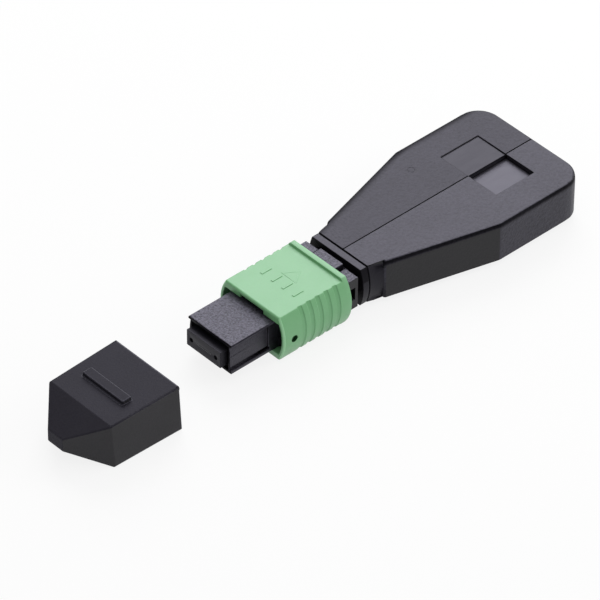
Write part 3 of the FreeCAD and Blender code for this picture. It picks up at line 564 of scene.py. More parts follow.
def soften(piece: Piece, width: float, steps: int = 3, slot: int = -1) -> None:
    """Round a piece's long sharp edges, where the faces on both sides have the room.

    Args:
        piece: The piece.
        width: The edge's width.
        steps: Strips across the edge.
        slot: The material slot that the edge takes, or -1 for its neighbour's.
    """
    least_length = width * MM * 3
    least_depth = width * MM * 2.2
    with editing(piece.data) as shape:
        weight = shape.edges.layers.float.new("bevel_weight_edge")
        for edge in shape.edges:
            edge.seam = False
            length = edge.calc_length()
            sharp = len(edge.link_faces) == 2 and edge.calc_face_angle() > math.radians(SHARP)
            if sharp and length > least_length and all(
                    face.calc_area() / length > least_depth for face in edge.link_faces):
                edge[weight] = 1.0
        for face in shape.faces:
            face.smooth = True
    bevel = piece.modifiers.new("MouldEdge", "BEVEL")
    bevel.limit_method = "WEIGHT"
    bevel.width = width * MM
    bevel.segments = steps
    bevel.material = slot
    bevel.use_clamp_overlap = False
    bevel.miter_outer = "MITER_ARC"
    bevel.harden_normals = True
    piece.modifiers.new("FlatFaces", "WEIGHTED_NORMAL").keep_sharp = True


def plain_mesh(piece: Piece) -> Mesh:
    """What a piece's modifiers make of it, as a new mesh."""
    graph = bpy.context.evaluated_depsgraph_get()
    graph.update()
    return bpy.data.meshes.new_from_object(piece.evaluated_get(graph), depsgraph=graph)


def carve(piece: Piece, *cutters: Mesh) -> None:
    """Cut solids out of a piece and keep the result as its plain mesh.

    Args:
        piece: The piece that is cut.
        cutters: Closed meshes in the same frame.
    """
    tools = [add_object("cutter", mesh) for mesh in cutters]
    for number, tool in enumerate(tools):
        cut = piece.modifiers.new("Cut%d" % number, "BOOLEAN")
        cut.operation = "DIFFERENCE"
        cut.solver = "EXACT"
        cut.object = tool
    result = plain_mesh(piece)
    piece.modifiers.clear()
    piece.data = result
    for tool in tools:
        bpy.data.objects.remove(tool)


def smooth_by_angle(piece: Piece) -> None:
    """Shade a plain mesh smooth, apart from its creases."""
    piece.data.shade_smooth()
    piece.data.set_sharp_from_angle(angle=math.radians(CREASE))


# ---------------------------------------------------------------- geometry trees

class Tree:
    """A Geometry Nodes tree with named inputs, ending in Realize Instances and Set Material."""

    def __init__(self, name: str, finish: Finish, sizes: dict[str, float | int | Point]) -> None:
        """Start a tree.

        Args:
            name: The tree's name.
            finish: The finish that the tree sets.
            sizes: The value of each named input.
        """
        self.group = bpy.data.node_groups.new(name, "GeometryNodeTree")
        self.finish = finish
        self.sizes = sizes
        sockets = self.group.interface
        sockets.new_socket("Geometry", in_out="INPUT", socket_type="NodeSocketGeometry")
        for key, value in sizes.items():
            kind = {int: "Int", tuple: "Vector"}.get(type(value), "Float")
            sockets.new_socket(key, in_out="INPUT", socket_type="NodeSocket" + kind)
        sockets.new_socket("Geometry", in_out="OUTPUT", socket_type="NodeSocketGeometry")
        self.inputs = self.group.nodes.new("NodeGroupInput").outputs

    def add(self, kind: str, inputs: dict | None = None, **settings: object) -> Node:
        """Add a node to this tree, as add_node does."""
        return add_node(self.group, kind, inputs, **settings)

    def close(self, geometry: Socket) -> None:
        """End the tree on a geometry, shaded smooth."""
        smooth = self.add("GeometryNodeSetShadeSmooth", {"Geometry": geometry})
        real = self.add("GeometryNodeRealizeInstances", {"Geometry": smooth.outputs["Geometry"]})
        dressed = self.add("GeometryNodeSetMaterial", {
            "Geometry": real.outputs["Geometry"], "Material": self.finish.material()})
        self.add("NodeGroupOutput", {"Geometry": dressed.outputs["Geometry"]})

    def close_row(self, shape: Node, turn: Point = (0.0, 0.0, 0.0)) -> None:
        """End the tree on a row of one shape, along its inputs Count, Start and Step.

        Args:
            shape: The node that makes the shape.
            turn: The turn of each copy in radians.
        """
        line = self.add("GeometryNodeMeshLine", {
            "Count": self.inputs["Count"], "Start Location": self.inputs["Start"],
            "Offset": self.inputs["Step"]})
        row = self.add("GeometryNodeInstanceOnPoints", {
            "Points": line.outputs["Mesh"], "Instance": shape.outputs["Mesh"], "Rotation": turn})
        self.close(row.outputs["Instances"])

    def close_wire(self, curve: Socket) -> None:
        """End the tree on a round wire along a curve, as thick as its input Radius says."""
        ring = self.add("GeometryNodeCurvePrimitiveCircle", {
            "Resolution": 10, "Radius": self.inputs["Radius"]})
        swept = self.add("GeometryNodeCurveToMesh", {
            "Curve": curve, "Profile Curve": ring.outputs["Curve"], "Fill Caps": True})
        self.close(swept.outputs["Mesh"])

    def grow(self, name: str, seed: bpy.types.ID | None = None) -> Piece:
        """Run the tree and keep its result as a plain mesh.

        Args:
            name: The new piece's name.
            seed: A mesh or curve that the tree starts from.

        Returns:
            The piece, with no modifier.
        """
        start = add_object("seed", seed or bpy.data.meshes.new("seed"))
        run = start.modifiers.new("Grow", "NODES")
        run.node_group = self.group
        for item in self.group.interface.items_tree:
            if item.item_type == "SOCKET" and item.in_out == "INPUT" and item.name in self.sizes:
                run[item.identifier] = self.sizes[item.name]
        mesh = plain_mesh(start)
        bpy.data.objects.remove(start)
        return new_object(name, mesh, self.finish)


# ---------------------------------------------------------------- sub-assemblies

@dataclass
class LoopHousing:
    """The two moulded halves round the fibre loops, with their label recess.

    Their edges are rounder down the sides than along the top.
    """

    edge: float = 0.07
    taper_start: float = 26.3
    taper_half_width: float = 5.43
    bend: float = 42.7
    half_width: float = 9.93
    back_start: float = 54.9
    packed_round: float = 0.45
    top_round: tuple[float, float] = (0.25, 0.95)
    low_round: tuple[float, float] = (0.2, 0.15)
    # how far the back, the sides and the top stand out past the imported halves
    growth: Point = (0.35, 0.14, 0.1)
    label_reach: tuple[float, float] = (0.2, 0.8)
    label_step: float = 0.15

    def build(self) -> list[Piece]:
        """Make both halves, each with softened edges and a smoother label floor."""
        made = []
        for side, plastic, label in (("left", HOUSING_LEFT, LABEL_LEFT),
                                     ("right", HOUSING_RIGHT, LABEL_RIGHT)):
            node = "housing_half_" + side
            piece = new_object("loop_housing_" + side, merged_mesh(node), plastic, HOUSING_EDGE_SHADE,
                               label, SIDE_SHADE, HOUSING_SIDE_SHADE)
            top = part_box(node)[1].z
            self.assign_finishes(piece.data, top, side == "left")
            self.reshape(piece.data, top)
            # the softened edges take painted shade from the edge copy, which also draws the seam's
            # dark line
            soften(piece, self.edge, slot=1)
            made.append(seat(piece, Body.PLUG, "housing_plastic", node))
        return made

    def assign_finishes(self, mesh: Mesh, top: float, left: bool) -> None:
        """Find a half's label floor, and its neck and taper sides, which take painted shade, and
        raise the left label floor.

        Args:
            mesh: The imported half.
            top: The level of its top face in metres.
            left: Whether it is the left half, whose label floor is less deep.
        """
        low, high = (top - reach * MM for reach in reversed(self.label_reach))
        for face in mesh.polygons:
            sideways = abs(face.normal.y)
            if face.normal.z > SQUARE and low < face.center.z < high:
                face.material_index = 2
                for number in face.vertices if left else ():
                    mesh.vertices[number].co.z = top - self.label_step * MM
            # painted shade: the neck's sides and the taper's sides take darker copies of the
            # plastic
            elif face.center.x < self.taper_start * MM and sideways > FACING:
                face.material_index = 3
            elif face.center.x < self.bend * MM and sideways > SQUARE:
                face.material_index = 4

    def reshape(self, mesh: Mesh, top: float) -> None:
        """Bring a half to the mould's own outline, rounder down its sides than along its top.

        Args:
            mesh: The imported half.
            top: The level of its top face in metres.
        """
        packed = self.packed_round * MM
        out: dict[int, Vector] = {}
        for face in mesh.polygons:
            # a strip of a packed fillet faces neither straight up nor straight out
            rounded = 0.03 < abs(face.normal.z) < 0.98 and abs(face.center.z) > top - packed
            if rounded and face.center.x > self.taper_start * MM:
                for number in face.vertices:
                    out[number] = out.get(number, Vector()) + face.normal
        for number, normal in out.items():
            corner = mesh.vertices[number].co
            short = min(max((top - abs(corner.z)) / packed, 0.0), 1.0)
            lean = 1 - math.sqrt(1 - (1 - short) ** 2)
            across, down = self.top_round if corner.z > 0 else self.low_round
            corner += Vector((normal.x, normal.y, 0)).normalized() * (packed - across * MM) * lean
            corner.z = math.copysign(top - short * down * MM, corner.z)
        for vertex in mesh.vertices:
            x = vertex.co.x / MM
            share = min(max((x - self.taper_start) / (self.bend - self.taper_start), 0.0), 1.0)
            wide = self.taper_half_width + (self.half_width - self.taper_half_width) * share
            if x > self.taper_start - 0.05:
                vertex.co.y *= 1 + self.growth[1] / wide
            if x > self.back_start:
                vertex.co.x += self.growth[0] * MM
            vertex.co.z *= 1 + self.growth[2] * MM / top


@dataclass
class Nose:
    """The inner housing with its key and rails, and the spring push behind it."""

    edge: float = 0.08
    front: float = 0.5
    front_round: float = 0.2
    way_half_width: float = 3.5
    way_half_height: float = 2.0
    block_start: float = 18.0
    plate_half_width: float = 4.07
    plate_top: float = 2.35
    plate_stop: float = 7.4
    plate_round: tuple[float, float] = (0.1, 0.25)
    plate_round_stop: float = 9.1
    # the hollow below the top plate, across a side
    cove: tuple[tuple[float, float], ...] = (
        (4.3, 2.0), (3.7, 2.0), (3.74, 1.75), (3.777, 1.5), (3.808, 1.25), (3.834, 1.0),
        (3.853, 0.75), (3.866, 0.5), (3.87, 0.3), (4.3, 0.3))

    def build(self) -> list[Piece]:
        """Make the two mouldings."""
        return [self.nose(), self.push()]

    def nose(self) -> Piece:
        """The nose, with painted shade on its sides and front, and a plain way through it for the
        ferrule whose walls are painted lighter.
        """
        piece = new_object("nose_moulding", merged_mesh("inner_housing"), NOSE, HOUSING_EDGE_SHADE,
                           HOUSING_SIDE_SHADE, NOSE_SIDE_SHADE, NOSE_INSIDE_LIGHT)
        carve(piece, *self.plate_cutters())
        for face in piece.data.polygons:
            inside = (abs(face.center.y) < self.way_half_width * MM
                      and abs(face.center.z) < self.way_half_height * MM)
            # painted shade on the forward faces and the sides, and painted light on the walls of
            # the ferrule's way
            if face.normal.x < -FACING:
                face.material_index = 1
            elif inside:
                face.material_index = 4
            elif abs(face.normal.y) > FACING:
                face.material_index = 2 if face.center.x > self.block_start * MM else 3
        soften(piece, self.edge)
        return seat(piece, Body.PLUG, "nose_plastic", "inner_housing")

    def push(self) -> Piece:
        """The spring push, whose rim shows in front of the housing."""
        piece = new_object("push_moulding", merged_mesh("spring_push"), PUSH, HOUSING_EDGE_SHADE, SIDE_SHADE)
        for face in piece.data.polygons:
            # painted shade on the rounded strips, the forward faces and the sides
            if 0.12 < face.normal.z < 0.92 or face.normal.x < -FACING:
                face.material_index = 1
            elif abs(face.normal.y) > FACING:
                face.material_index = 2
        soften(piece, self.edge, slot=1)
        return seat(piece, Body.PLUG, "nose_plastic", "spring_push")

    def plate_cutters(self) -> list[Mesh]:
        """The solids that round the top plate's edges and hollow each side below it."""
        wide, top, bend = self.plate_half_width, self.plate_top, self.front_round
        ahead, spare = 0.5, 0.3
        arc = [(self.front + bend * (1 - sine), top - bend * (1 - cosine))
               for sine, cosine in quarter_turn(8)]
        arc += [(self.front - spare, top - bend), (self.front - spare, top + spare),
                (self.front + bend, top + spare)]
        cutters = [bar_mesh("front_round", arc, -wide - ahead, wide + ahead)]
        across, down = self.plate_round
        arc = [(wide - across + across * sine, top - down + down * cosine)
               for sine, cosine in quarter_turn(8)]
        arc += [(wide + spare, top - down), (wide + spare, top + spare),
                (wide - across, top + spare)]
        for side in (1, -1):
            for name, outline, stop in (("plate_round", arc, self.plate_round_stop),
                                        ("side_cove", self.cove, self.plate_stop)):
                section = [(y * side, z) for y, z in outline]
                cutters.append(loft(name, [(self.front - ahead, section), (stop, section)]))
        return cutters


# The depth of a finger groove at a place on the skin, and where that place moves to. Each line is
# a result, the sum that gives it, and its terms: earlier results, the tree's inputs or numbers.
GROOVE_SUMS: tuple[tuple[str | float, ...], ...] = (
    ("from_first", "SUBTRACT", "X", "First"),
    ("along", "DIVIDE", "from_first", "Pitch"),
    ("cell", "FLOOR", "along"),
    ("share", "SUBTRACT", "along", "cell"),
    ("into", "MULTIPLY", "share", "Pitch"),
    ("halves", "DIVIDE", "into", "Half Width"),
    ("across", "SUBTRACT", "halves", 1.0),
    # a scoop with steep walls, deeper towards the front
    ("off_middle", "ABSOLUTE", "across"),
    ("walls", "POWER", "off_middle", "Steepness"),
    ("bowl", "SUBTRACT", 1.0, "walls"),
    ("slope", "MULTIPLY", "halves", "Lean"),
    ("lean", "SUBTRACT", 1.0, "slope"),
    # a little shallower towards the top and the bottom
    ("square", "MULTIPLY", "Z", "Z"),
    ("loss", "MULTIPLY", "square", "Fade"),
    ("fade", "SUBTRACT", 1.0, "loss"),
    ("shape", "MULTIPLY", "lean", "fade"),
    ("scoop", "MULTIPLY", "bowl", "shape"),
    ("open", "MAXIMUM", "scoop", 0.0),
    ("full_depth", "MULTIPLY", "open", "Depth"),
    # only in the grooves that are counted
    ("after", "GREATER_THAN", "cell", -0.5),
    ("before", "LESS_THAN", "cell", "Count"),
    ("counted", "MULTIPLY", "after", "before"),
    ("depth", "MULTIPLY", "full_depth", "counted"),
    # pressed in towards the axis of the side's circle, and never further out than it was
    ("side", "SIGN", "Y"),
    ("wide", "ABSOLUTE", "Y"),
    ("out", "SUBTRACT", "wide", "Axis"),
    ("out_square", "MULTIPLY", "out", "out"),
    ("reach_square", "ADD", "out_square", "square"),
    ("reach", "SQRT", "reach_square"),
    ("allowed", "SUBTRACT", "Radius", "depth"),
    ("ratio", "DIVIDE", "allowed", "reach"),
    ("shrink", "MINIMUM", "ratio", 1.0),
    ("pressed_out", "MULTIPLY", "out", "shrink"),
    ("pressed_wide", "ADD", "Axis", "pressed_out"),
    ("new_y", "MULTIPLY", "side", "pressed_wide"),
    ("new_z", "MULTIPLY", "Z", "shrink"),
    ("on_side", "GREATER_THAN", "out", 0.0),
    ("in_groove", "GREATER_THAN", "depth", 0.0),
    ("cut", "MULTIPLY", "on_side", "in_groove"))


@dataclass
class CouplingSleeve:
    """The pull-back sleeve: flat above and below, with swelling sides grooved for the fingers."""

    flat: float = 5.1
    half_height: float = 3.5
    ridge_start: float = 19.2
    wall: float = 0.5
    lip: float = 1.3
    roof: float = 3.05
    mouth_half_height: float = 2.45
    mouth_flare: tuple[float, float] = (0.1, 0.24)
    rail_half_width: float = 2.22
    corner: float = 0.16
    inner_corner: float = 0.1
    front_round: float = 0.3
    skin_step: float = 0.035
    ridge_front: Outline = ((0.0, 0.0), (0.02, 0.12), (0.05, 0.8), (0.08, 0.95), (0.13, 1.0))
    ridge_back: Outline = ((0.1, 0.0), (0.05, 0.015), (0.015, 0.05), (0.0, 0.1))
    groove_first: float = 11.46
    groove_pitch: float = 1.5
    groove_count: int = 5
    groove_width: float = 0.74
    groove_depth: float = 0.2
    groove_fade: float = 0.15
    groove_lean: float = 0.22
    groove_steepness: float = 7.0
    hole_centre: Point = (10.1, 6.0, -0.2)
    hole_radius: float = 0.52
    hole_facets: int = 32
    hole_reach: tuple[float, float] = (2.4, 1.0)
    ledge_low: Point = (10.2, 4.1, -0.8)
    ledge_end: float = 11.3
    mark_round: float = 0.03
    arrow_height: float = 0.03
    arrow_outside: Outline = ((14.6, -1.45), (16.7, 0.0), (14.6, 1.45))
    arrow_inside: Outline = ((14.78, -1.13), (16.4, 0.0), (14.78, 1.13))
    bar_count: int = 4
    bar_pitch: float = 2.0
    bar_middle: float = 13.45
    bar_size: Point = (1.7, 0.4, 0.16)

    def __post_init__(self) -> None:
        """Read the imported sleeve's ends and find the side's circle."""
        low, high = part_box("coupling_sleeve")
        self.start, self.stop = low.x / MM, high.x / MM
        self.half_width, self.ridge_height = high.y / MM, high.z / MM
        swell = self.half_width - self.flat
        self.radius = (self.half_height ** 2 + swell ** 2) / (swell * 2)
        self.axis = self.half_width - self.radius

    def build(self) -> list[Piece]:
        """Make the sleeve and its marks."""
        skin_piece = self.grooved()
        for finish in (SLEEVE_RIM_HIGHLIGHT, SLEEVE_HOLE_SHADE):
            skin_piece.data.materials.append(finish.material())
        carve(skin_piece, *self.hollow())
        for face in skin_piece.data.polygons:
            # a painted highlight on the sides of the rounded front, and painted shade on the walls
            # of the side holes
            in_front = face.center.x < (self.start + self.front_round) * MM
            if in_front and abs(face.normal.y) > LEANING:
                face.material_index = 1
            elif self.in_hole(face):
                face.material_index = 2
        smooth_by_angle(skin_piece)
        seat(skin_piece, Body.SLEEVE, "sleeve_plastic", "coupling_sleeve")
        return [skin_piece, self.arrow(), self.bars(), self.ledges()]

    def section(self, height: float, radius: float, corner: float) -> Outline:
        """The outline of a slab with round sides, its four corners softened.

        Args:
            height: Half the slab's height.
            radius: The sides' radius, about the sleeve's own side axis.
            corner: The corners' radius.

        Returns:
            Points round the outline.
        """
        rise = height - corner
        reach = math.sqrt((radius - corner) ** 2 - rise ** 2)
        centre_y = self.axis + reach
        tilt = math.atan2(rise, reach)
        # the points stand closer together towards the corner
        quarter = [(centre_y * share, height) for share in
                   (0, 0.3, 0.6, 0.8, 0.86, 0.89, 0.91, 0.93, 0.95, 0.97, 0.985)]
        for step in range(6):
            angle = math.pi / 2 - (math.pi / 2 - tilt) * step / 5
            quarter.append((centre_y + corner * math.cos(angle), rise + corner * math.sin(angle)))
        for step in range(1, 15):
            angle = tilt * (1 - step / 15)
            quarter.append((self.axis + radius * math.cos(angle), radius * math.sin(angle)))
        right = quarter + [(self.axis + radius, 0.0)] + [(y, -z) for y, z in reversed(quarter)]
        return right + [(-y, z) for y, z in reversed(right[1:-1])]

    def outer_stations(self) -> list[tuple[float, Outline]]:
        """Sections of the outer skin from the rounded front to the ridge at the back."""
        stations = []
        for sine, cosine in quarter_turn(4):
            inset = self.front_round * (1 - sine)
            stations.append((self.start + self.front_round * (1 - cosine), self.section(
                self.half_height - inset, self.radius - inset, self.corner)))
        first = self.start + self.front_round
        steps = int((self.ridge_start - first) / self.skin_step)
        for step in range(1, steps):
            stations.append((first + (self.ridge_start - first) * step / steps, self.section(
                self.half_height, self.radius, self.corner)))
        rise = self.ridge_height - self.half_height
        for ahead, share in self.ridge_front:
            stations.append((self.ridge_start + ahead, self.section(
                self.half_height + rise * share, self.radius, self.corner)))
        for short, inset in self.ridge_back:
            stations.append((self.stop - short, self.section(
                self.ridge_height - inset, self.radius - inset, self.corner)))
        return stations

    def grooved(self) -> Piece:
        """The outer skin with its finger grooves, which never go deeper than the side's circle."""
        tree = Tree("finger_grooves", SLEEVE, {
            "First": self.groove_first * MM, "Pitch": self.groove_pitch * MM,
            "Count": self.groove_count, "Half Width": self.groove_width / 2 * MM,
            "Depth": self.groove_depth * MM, "Radius": self.radius * MM, "Axis": self.axis * MM,
            "Fade": self.groove_fade / (self.half_height * MM) ** 2, "Lean": self.groove_lean,
            "Steepness": self.groove_steepness})
        here = tree.add("GeometryNodeInputPosition").outputs[0]
        place = tree.add("ShaderNodeSeparateXYZ", {0: here}).outputs
        known = {name: tree.inputs[name] for name in tree.sizes}
        known |= {axis: place[axis] for axis in "XYZ"}
        for name, operation, *terms in GROOVE_SUMS:
            inputs = {number: known.get(term, term) for number, term in enumerate(terms)}
            known[name] = tree.add("ShaderNodeMath", inputs, operation=operation).outputs[0]
        moved = tree.add("ShaderNodeCombineXYZ", {
            "X": place["X"], "Y": known["new_y"], "Z": known["new_z"]})
        pressed = tree.add("GeometryNodeSetPosition", {
            "Geometry": tree.inputs["Geometry"], "Selection": known["cut"],
            "Position": moved.outputs[0]})
        tree.close(pressed.outputs["Geometry"])
        return tree.grow("coupling_sleeve_skin", loft("sleeve_shell", self.outer_stations()))

    def hollow(self) -> list[Mesh]:
        """The solids that open the sleeve: chamber, flared mouth, rail ways and side holes.

        Each reaches a little past what it opens.
        """
        inside, lip_end = self.radius - self.wall, self.start + self.lip
        into, rise = self.mouth_flare
        chamber = self.section(self.roof, inside, self.inner_corner)
        mouth = self.section(self.mouth_half_height, inside, self.inner_corner)
        flared = self.section(self.mouth_half_height + rise, inside + rise, self.inner_corner)
        way = box_mesh("rail_way", (self.start - 0.5, -self.rail_half_width, -self.roof),
                       (lip_end + 0.1, self.rail_half_width, self.roof))
        return [loft("chamber", [(lip_end, chamber), (self.stop + 1, chamber)]),
                loft("mouth", [(self.start - 0.2, flared), (self.start + into, mouth),
                               (lip_end + 0.1, mouth)]),
                way, self.hole(1), self.hole(-1)]

    def hole(self, side: int) -> Mesh:
        """The round hole near the front of one side, as a solid to cut with."""
        x, y, z = self.hole_centre
        angles = [math.tau * step / self.hole_facets for step in range(self.hole_facets)]
        ring = [(x + self.hole_radius * math.cos(angle), z + self.hole_radius * math.sin(angle))
                for angle in angles]
        inward, outward = self.hole_reach
        return bar_mesh("side_hole", ring, (y - inward) * side, (y + outward) * side)

    def in_hole(self, face: Face) -> bool:
        """Whether a face belongs to the wall of a side hole."""
        x, _, z = self.hole_centre
        away = math.hypot(face.center.x / MM - x, face.center.z / MM - z)
        return away < self.hole_radius * 1.02 and abs(face.normal.y) < LEANING

    def arrow(self) -> Piece:
        """The raised outline arrow that shows which way the sleeve is pulled."""
        points = [(x * MM, y * MM, level * MM)
                  for level in (self.half_height - 0.05, self.half_height + self.arrow_height)
                  for x, y in self.arrow_outside + self.arrow_inside]
        faces: list[tuple[int, ...]] = []
        for step in range(3):
            after = (step + 1) % 3
            for first, second in ((0, 3), (6, 9), (0, 6), (3, 9)):
                faces.append((first + step, first + after, second + after, second + step))
        piece = new_object("sleeve_arrow", solid_from("arrow", points, faces), SLEEVE)
        soften(piece, self.mark_round, 2)
        return seat(piece, Body.SLEEVE, "sleeve_plastic")

    def bars(self) -> Piece:
        """A row of raised bars behind the mouth."""
        first = -self.bar_pitch * (self.bar_count - 1) / 2
        tree = Tree("raised_bars", SLEEVE, {
            "Count": self.bar_count, "Step": (0.0, self.bar_pitch * MM, 0.0),
            "Start": (self.bar_middle * MM, first * MM, (self.half_height - 0.01) * MM),
            "Size": tuple(v * MM for v in self.bar_size)})
        tree.close_row(tree.add("GeometryNodeMeshCube", {"Size": tree.inputs["Size"]}))
        piece = tree.grow("sleeve_bars")
        soften(piece, self.mark_round, 2)
        return seat(piece, Body.SLEEVE, "sleeve_plastic")

    def ledges(self) -> Piece:
        """The ledge inside each side that the return springs push on."""
        x, y, z = self.ledge_low
        mesh = bpy.data.meshes.new("ledges")
        with editing(mesh) as shape:
            for side in (1, -1):
                near, far = sorted((y * side, (self.half_width - self.wall - 0.1) * side))
                shape.from_mesh(box_mesh("ledge", (x, near, z), (self.ledge_end, far, -z)))
        piece = new_object("sleeve_ledges", mesh, SLEEVE, SLEEVE_HOLE_SHADE)
        carve(piece, self.hole(1), self.hole(-1))
        # painted shade on the walls of the side holes
        for face in piece.data.polygons:
            face.material_index = int(self.in_hole(face))
        smooth_by_angle(piece)
        return seat(piece, Body.SLEEVE, "sleeve_plastic")


@dataclass
class OpticalCore:
    """The ferrule with its fibre ends, the boot in its back and the spacer behind it."""

    fibre_count: int = 12
    fibre_pitch: float = 0.25
    glass_diameter: float = 0.125
    glass_depth: float = 0.02

    def build(self) -> list[Piece]:
        """Make the core's pieces."""
        made = []
        for node, name, finish, slot, edge in (
                ("mt_ferrule", "ferrule_moulding", FERRULE, "ferrule", 0.05),
                ("ferrule_boot", "fibre_boot", BOOT, "boot", 0.08),
                ("pin_clamp", "pin_spacer", SPACER, "spacer", 0.06)):
            piece = new_object(name, merged_mesh(node), finish, SIDE_SHADE)
            # painted shade on the ferrule's sides
            for face in piece.data.polygons:
                face.material_index = int(finish is FERRULE and abs(face.normal.y) > FACING)
            soften(piece, edge)
            made.append(seat(piece, Body.FERRULE, slot, node))
        made.append(self.ends())
        return made

    def ends(self) -> Piece:
        """The row of polished fibre ends, which stand a few microns proud of the face."""
        tree = Tree("fibre_ends", GLASS, {
            "Count": self.fibre_count, "Step": (0.0, self.fibre_pitch * MM, 0.0),
            "Start": (0.0, -self.fibre_pitch * (self.fibre_count - 1) / 2 * MM, 0.0),
            "Radius": self.glass_diameter / 2 * MM, "Depth": self.glass_depth * MM})
        end = tree.add("GeometryNodeMeshCylinder", {
            "Vertices": 16, "Radius": tree.inputs["Radius"], "Depth": tree.inputs["Depth"]})
        tree.close_row(end, (0.0, math.pi / 2, 0.0))
        return seat(tree.grow("fibre_ends"), Body.FERRULE, "fibre")


@dataclass
class Springs:
    """Three coil springs: one behind the ferrule and two that return the sleeve.

    Each has its CAD node, its turns, its wire's diameter and the joint that shortens it.
    """

    coils: tuple[tuple[str, float, float, str], ...] = (
        ("ferrule_spring", 5.0, 0.36, "ferrule_float"),
        ("sleeve_spring_left", 8.0, 0.22, "sleeve_slide"),
        ("sleeve_spring_right", 8.0, 0.22, "sleeve_slide"))

    def build(self) -> list[Piece]:
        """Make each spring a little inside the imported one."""
        made = []
        for node, turns, wire, joint in self.coils:
            low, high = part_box(node)
            thick = wire * MM
            middle = (low + high) / 2
            length = high.x - low.x
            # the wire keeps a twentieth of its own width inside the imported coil
            tree = Tree(node + "_coil", STEEL, {
                "Turns": turns, "Radius": thick / 2, "Reach": (high.y - low.y - thick * 1.1) / 2,
                "Length": length - thick * 1.05,
                "Seat": (low.x + thick * 0.52, middle.y, middle.z)})
            size = tree.inputs
            line = tree.add("GeometryNodeCurveSpiral", {
                "Resolution": 28, "Rotations": size["Turns"], "Start Radius": size["Reach"],
                "End Radius": size["Reach"], "Height": size["Length"]})
            laid = tree.add("GeometryNodeTransform", {
                "Geometry": line.outputs["Curve"], "Translation": size["Seat"],
                "Rotation": (0.0, math.pi / 2, 0.0)})
            tree.close_wire(laid.outputs["Geometry"])
            piece = tree.grow(node.replace("spring", "coil"))
            seat(piece, Body.PLUG, "spring", node)
            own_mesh(piece)
            made.append(piece)
        return made


@dataclass
class FibreLoops:
    """Six coated fibres that leave the ferrule, turn round in the housing and come back."""

    count: int = 6
    pitch: float = 0.25
    corner: float = 31.5
    lead: float = 6.0
    ease: float = 1.6
    centre: float = 48.6
    inner_radius: float = 4.7
    step: float = 0.5
    diameter: float = 0.2

    def build(self) -> list[Piece]:
        """Sweep each fibre along a smooth line, counted from the middle of the ribbon."""
        made = []
        for number in range(1, self.count + 1):
            node = "fibre_loop_%d" % number
            row = self.pitch * (number - 0.5)
            radius = self.inner_radius + self.step * (number - 1)
            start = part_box(node)[0].x / MM
            side = radius * math.tan(math.pi / 8)
            route = [(start, row), (self.corner - self.lead, row), (self.corner, row),
                     (self.centre - side * self.ease, radius), (self.centre + side, radius),
                     (self.centre + radius, side)]
            route += [(x, -y) for x, y in reversed(route)]
            curve = bpy.data.curves.new(node, "CURVE")
            curve.dimensions = "3D"
            line = curve.splines.new("NURBS")
            line.points.add(len(route) - 1)
            for point, (x, y) in zip(line.points, route):
                point.co = (x * MM, y * MM, 0.0, 1.0)
            line.order_u = 3
            line.use_endpoint_u = True
            line.resolution_u = 12
            tree = Tree(node + "_coat", FIBRE, {"Radius": self.diameter / 2 * MM})
            tree.close_wire(tree.inputs["Geometry"])
            piece = tree.grow("coated_fibre_%d" % number, curve)
            made.append(seat(piece, Body.FERRULE, "fibre", node))
        return made


@dataclass
class DustCap:
    """The cap that slides over the nose: a drafted box with a blunt pyramid end and a bar."""

    edge: float = 0.15
    sideways: float = 0.4

    def build(self) -> list[Piece]:
        """Make the cap."""
        piece = new_object("dust_cap_moulding", merged_mesh("dust_cap"), CAP, CAP_EDGE_HIGHLIGHT, CAP_SIDE_LIGHT,
                           CAP_TAPER_LIGHT)
        # painted light: the sides and the sloping end's upward faces take paler copies of the
        # cap's finish, and the softened edges a painted highlight
        for face in piece.data.polygons:
            if abs(face.normal.z) < LEANING and abs(face.normal.y) > self.sideways:
                face.material_index = 2
            elif face.normal.x < -LEANING and face.normal.z > LEANING:
                face.material_index = 3
        soften(piece, self.edge, slot=1)
        return [seat(piece, Body.CAP, "cap_plastic", "dust_cap")]


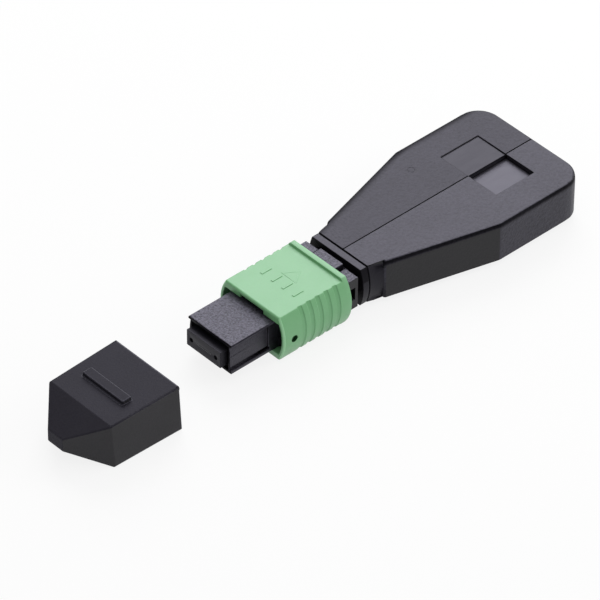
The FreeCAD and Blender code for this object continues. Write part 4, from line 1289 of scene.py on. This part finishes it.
@dataclass
class Studio:
    """A pale floor, soft light from above and behind, and the camera. Its sizes are in metres."""

    azimuth: float = -42.758
    elevation: float = 40.359
    roll: float = 0.474
    distance: float = 0.7256
    target: Point = (0.01557, -0.00115, 0.0)
    lens: float = 339.3
    sensor: float = 36.0
    floor_reach: float = 3.0
    floor_white: float = 0.85
    room_light: float = 0.35

    def build(self) -> None:
        """Set up the whole studio."""
        bpy.context.scene.view_settings.view_transform = "Standard"
        self.camera()
        self.floor()
        self.world()
        self.lamp("back_softbox", place=(0.30, 0.33, 0.36), size=(0.42, 0.42), power=2.3)
        self.lamp("top_softbox", place=(0.0, 0.0, 0.55), size=(0.5, 0.5), power=0.65)
        self.lamp("front_fill", place=(0.05, -0.5, 0.28), size=(0.4, 0.3), power=0.05)
        self.lamp("side_fill", place=(0.42, -0.22, 0.2), size=(0.3, 0.3), power=0.95)

    def camera(self) -> None:
        """Aim the camera at the plug."""
        turn, lift, roll = (math.radians(v) for v in (self.azimuth, self.elevation, self.roll))
        data = bpy.data.cameras.new("studio_camera")
        data.sensor_width = self.sensor
        data.lens = self.lens
        data.clip_start, data.clip_end = 0.01, 50.0
        camera = add_object("studio_camera", data)
        camera.matrix_world = (
            Matrix.Translation(self.target) @ Matrix.Rotation(turn, 4, "Z")
            @ Matrix.Rotation(math.pi / 2 - lift, 4, "X") @ Matrix.Rotation(roll, 4, "Z")
            @ Matrix.Translation((0.0, 0.0, self.distance)))
        bpy.context.scene.camera = camera

    def floor(self) -> None:
        """Lay the pale floor under the lowest point, white to the eye and still shadowed."""
        low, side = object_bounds()[0].z, self.floor_reach
        mesh = bpy.data.meshes.new("studio_floor")
        mesh.from_pydata([(-side, -side, low), (side, -side, low), (side, side, low),
                          (-side, side, low)], [], [(0, 1, 2, 3)])
        material = bpy.data.materials.new("pale_floor")
        tree = empty_tree(material)
        paper = add_node(tree, "ShaderNodeBsdfDiffuse", {"Color": linear("#F2F2F2")})
        white = add_node(tree, "ShaderNodeEmission", {
            "Color": linear("#FFFFFF"), "Strength": 1.0})
        mix = add_node(tree, "ShaderNodeMixShader", {
            0: self.seen(tree), 1: paper.outputs[0], 2: white.outputs[0]})
        add_node(tree, "ShaderNodeOutputMaterial", {"Surface": mix.outputs[0]})
        mesh.materials.append(material)
        add_object("studio_floor", mesh)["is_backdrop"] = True

    def seen(self, tree: NodeTree) -> Socket:
        """How much of the white a ray sees: a share for camera, gloss and glass, else none."""
        ray = add_node(tree, "ShaderNodeLightPath").outputs
        first = add_node(tree, "ShaderNodeMath", {
            0: ray["Is Camera Ray"], 1: ray["Is Glossy Ray"]}, operation="MAXIMUM")
        both = add_node(tree, "ShaderNodeMath", {
            0: first.outputs[0], 1: ray["Is Transmission Ray"]}, operation="MAXIMUM")
        return add_node(tree, "ShaderNodeMath", {
            0: both.outputs[0], 1: self.floor_white}, operation="MULTIPLY").outputs[0]

    def world(self) -> None:
        """A plain pale room, dimmer than the lamps."""
        world = bpy.data.worlds.new("studio")
        bpy.context.scene.world = world
        tree = empty_tree(world)
        room = add_node(tree, "ShaderNodeBackground", {
            "Color": linear("#FFFFFF"), "Strength": self.room_light})
        add_node(tree, "ShaderNodeOutputWorld", {"Surface": room.outputs[0]})

    def lamp(self, name: str, place: Point, size: tuple[float, float], power: float) -> None:
        """Hang a soft rectangular lamp that looks at the plug.

        Args:
            name: The lamp's name.
            place: Where it hangs, from the target.
            size: Its width and height.
            power: Its power in watts.
        """
        data = bpy.data.lights.new(name, "AREA")
        data.shape = "RECTANGLE"
        data.size, data.size_y = size
        data.energy = power
        lamp = add_object(name, data)
        lamp.location = Vector(self.target) + Vector(place)
        lamp.rotation_mode = "QUATERNION"
        lamp.rotation_quaternion = Vector(place).to_track_quat("Z", "Y")


def main() -> None:
    """Build the studio and every sub-assembly in order, and note how many pieces each makes."""
    logging.basicConfig(level=logging.INFO, format="%(name)s: %(message)s")
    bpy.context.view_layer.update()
    Studio().build()
    for assembly in (OpticalCore(), Springs(), FibreLoops(), Nose(), CouplingSleeve(),
                     LoopHousing(), DustCap()):
        made = assembly.build()
        log.info("%s: %d pieces", type(assembly).__name__, len(made))


if __name__ == "__main__":
    main()
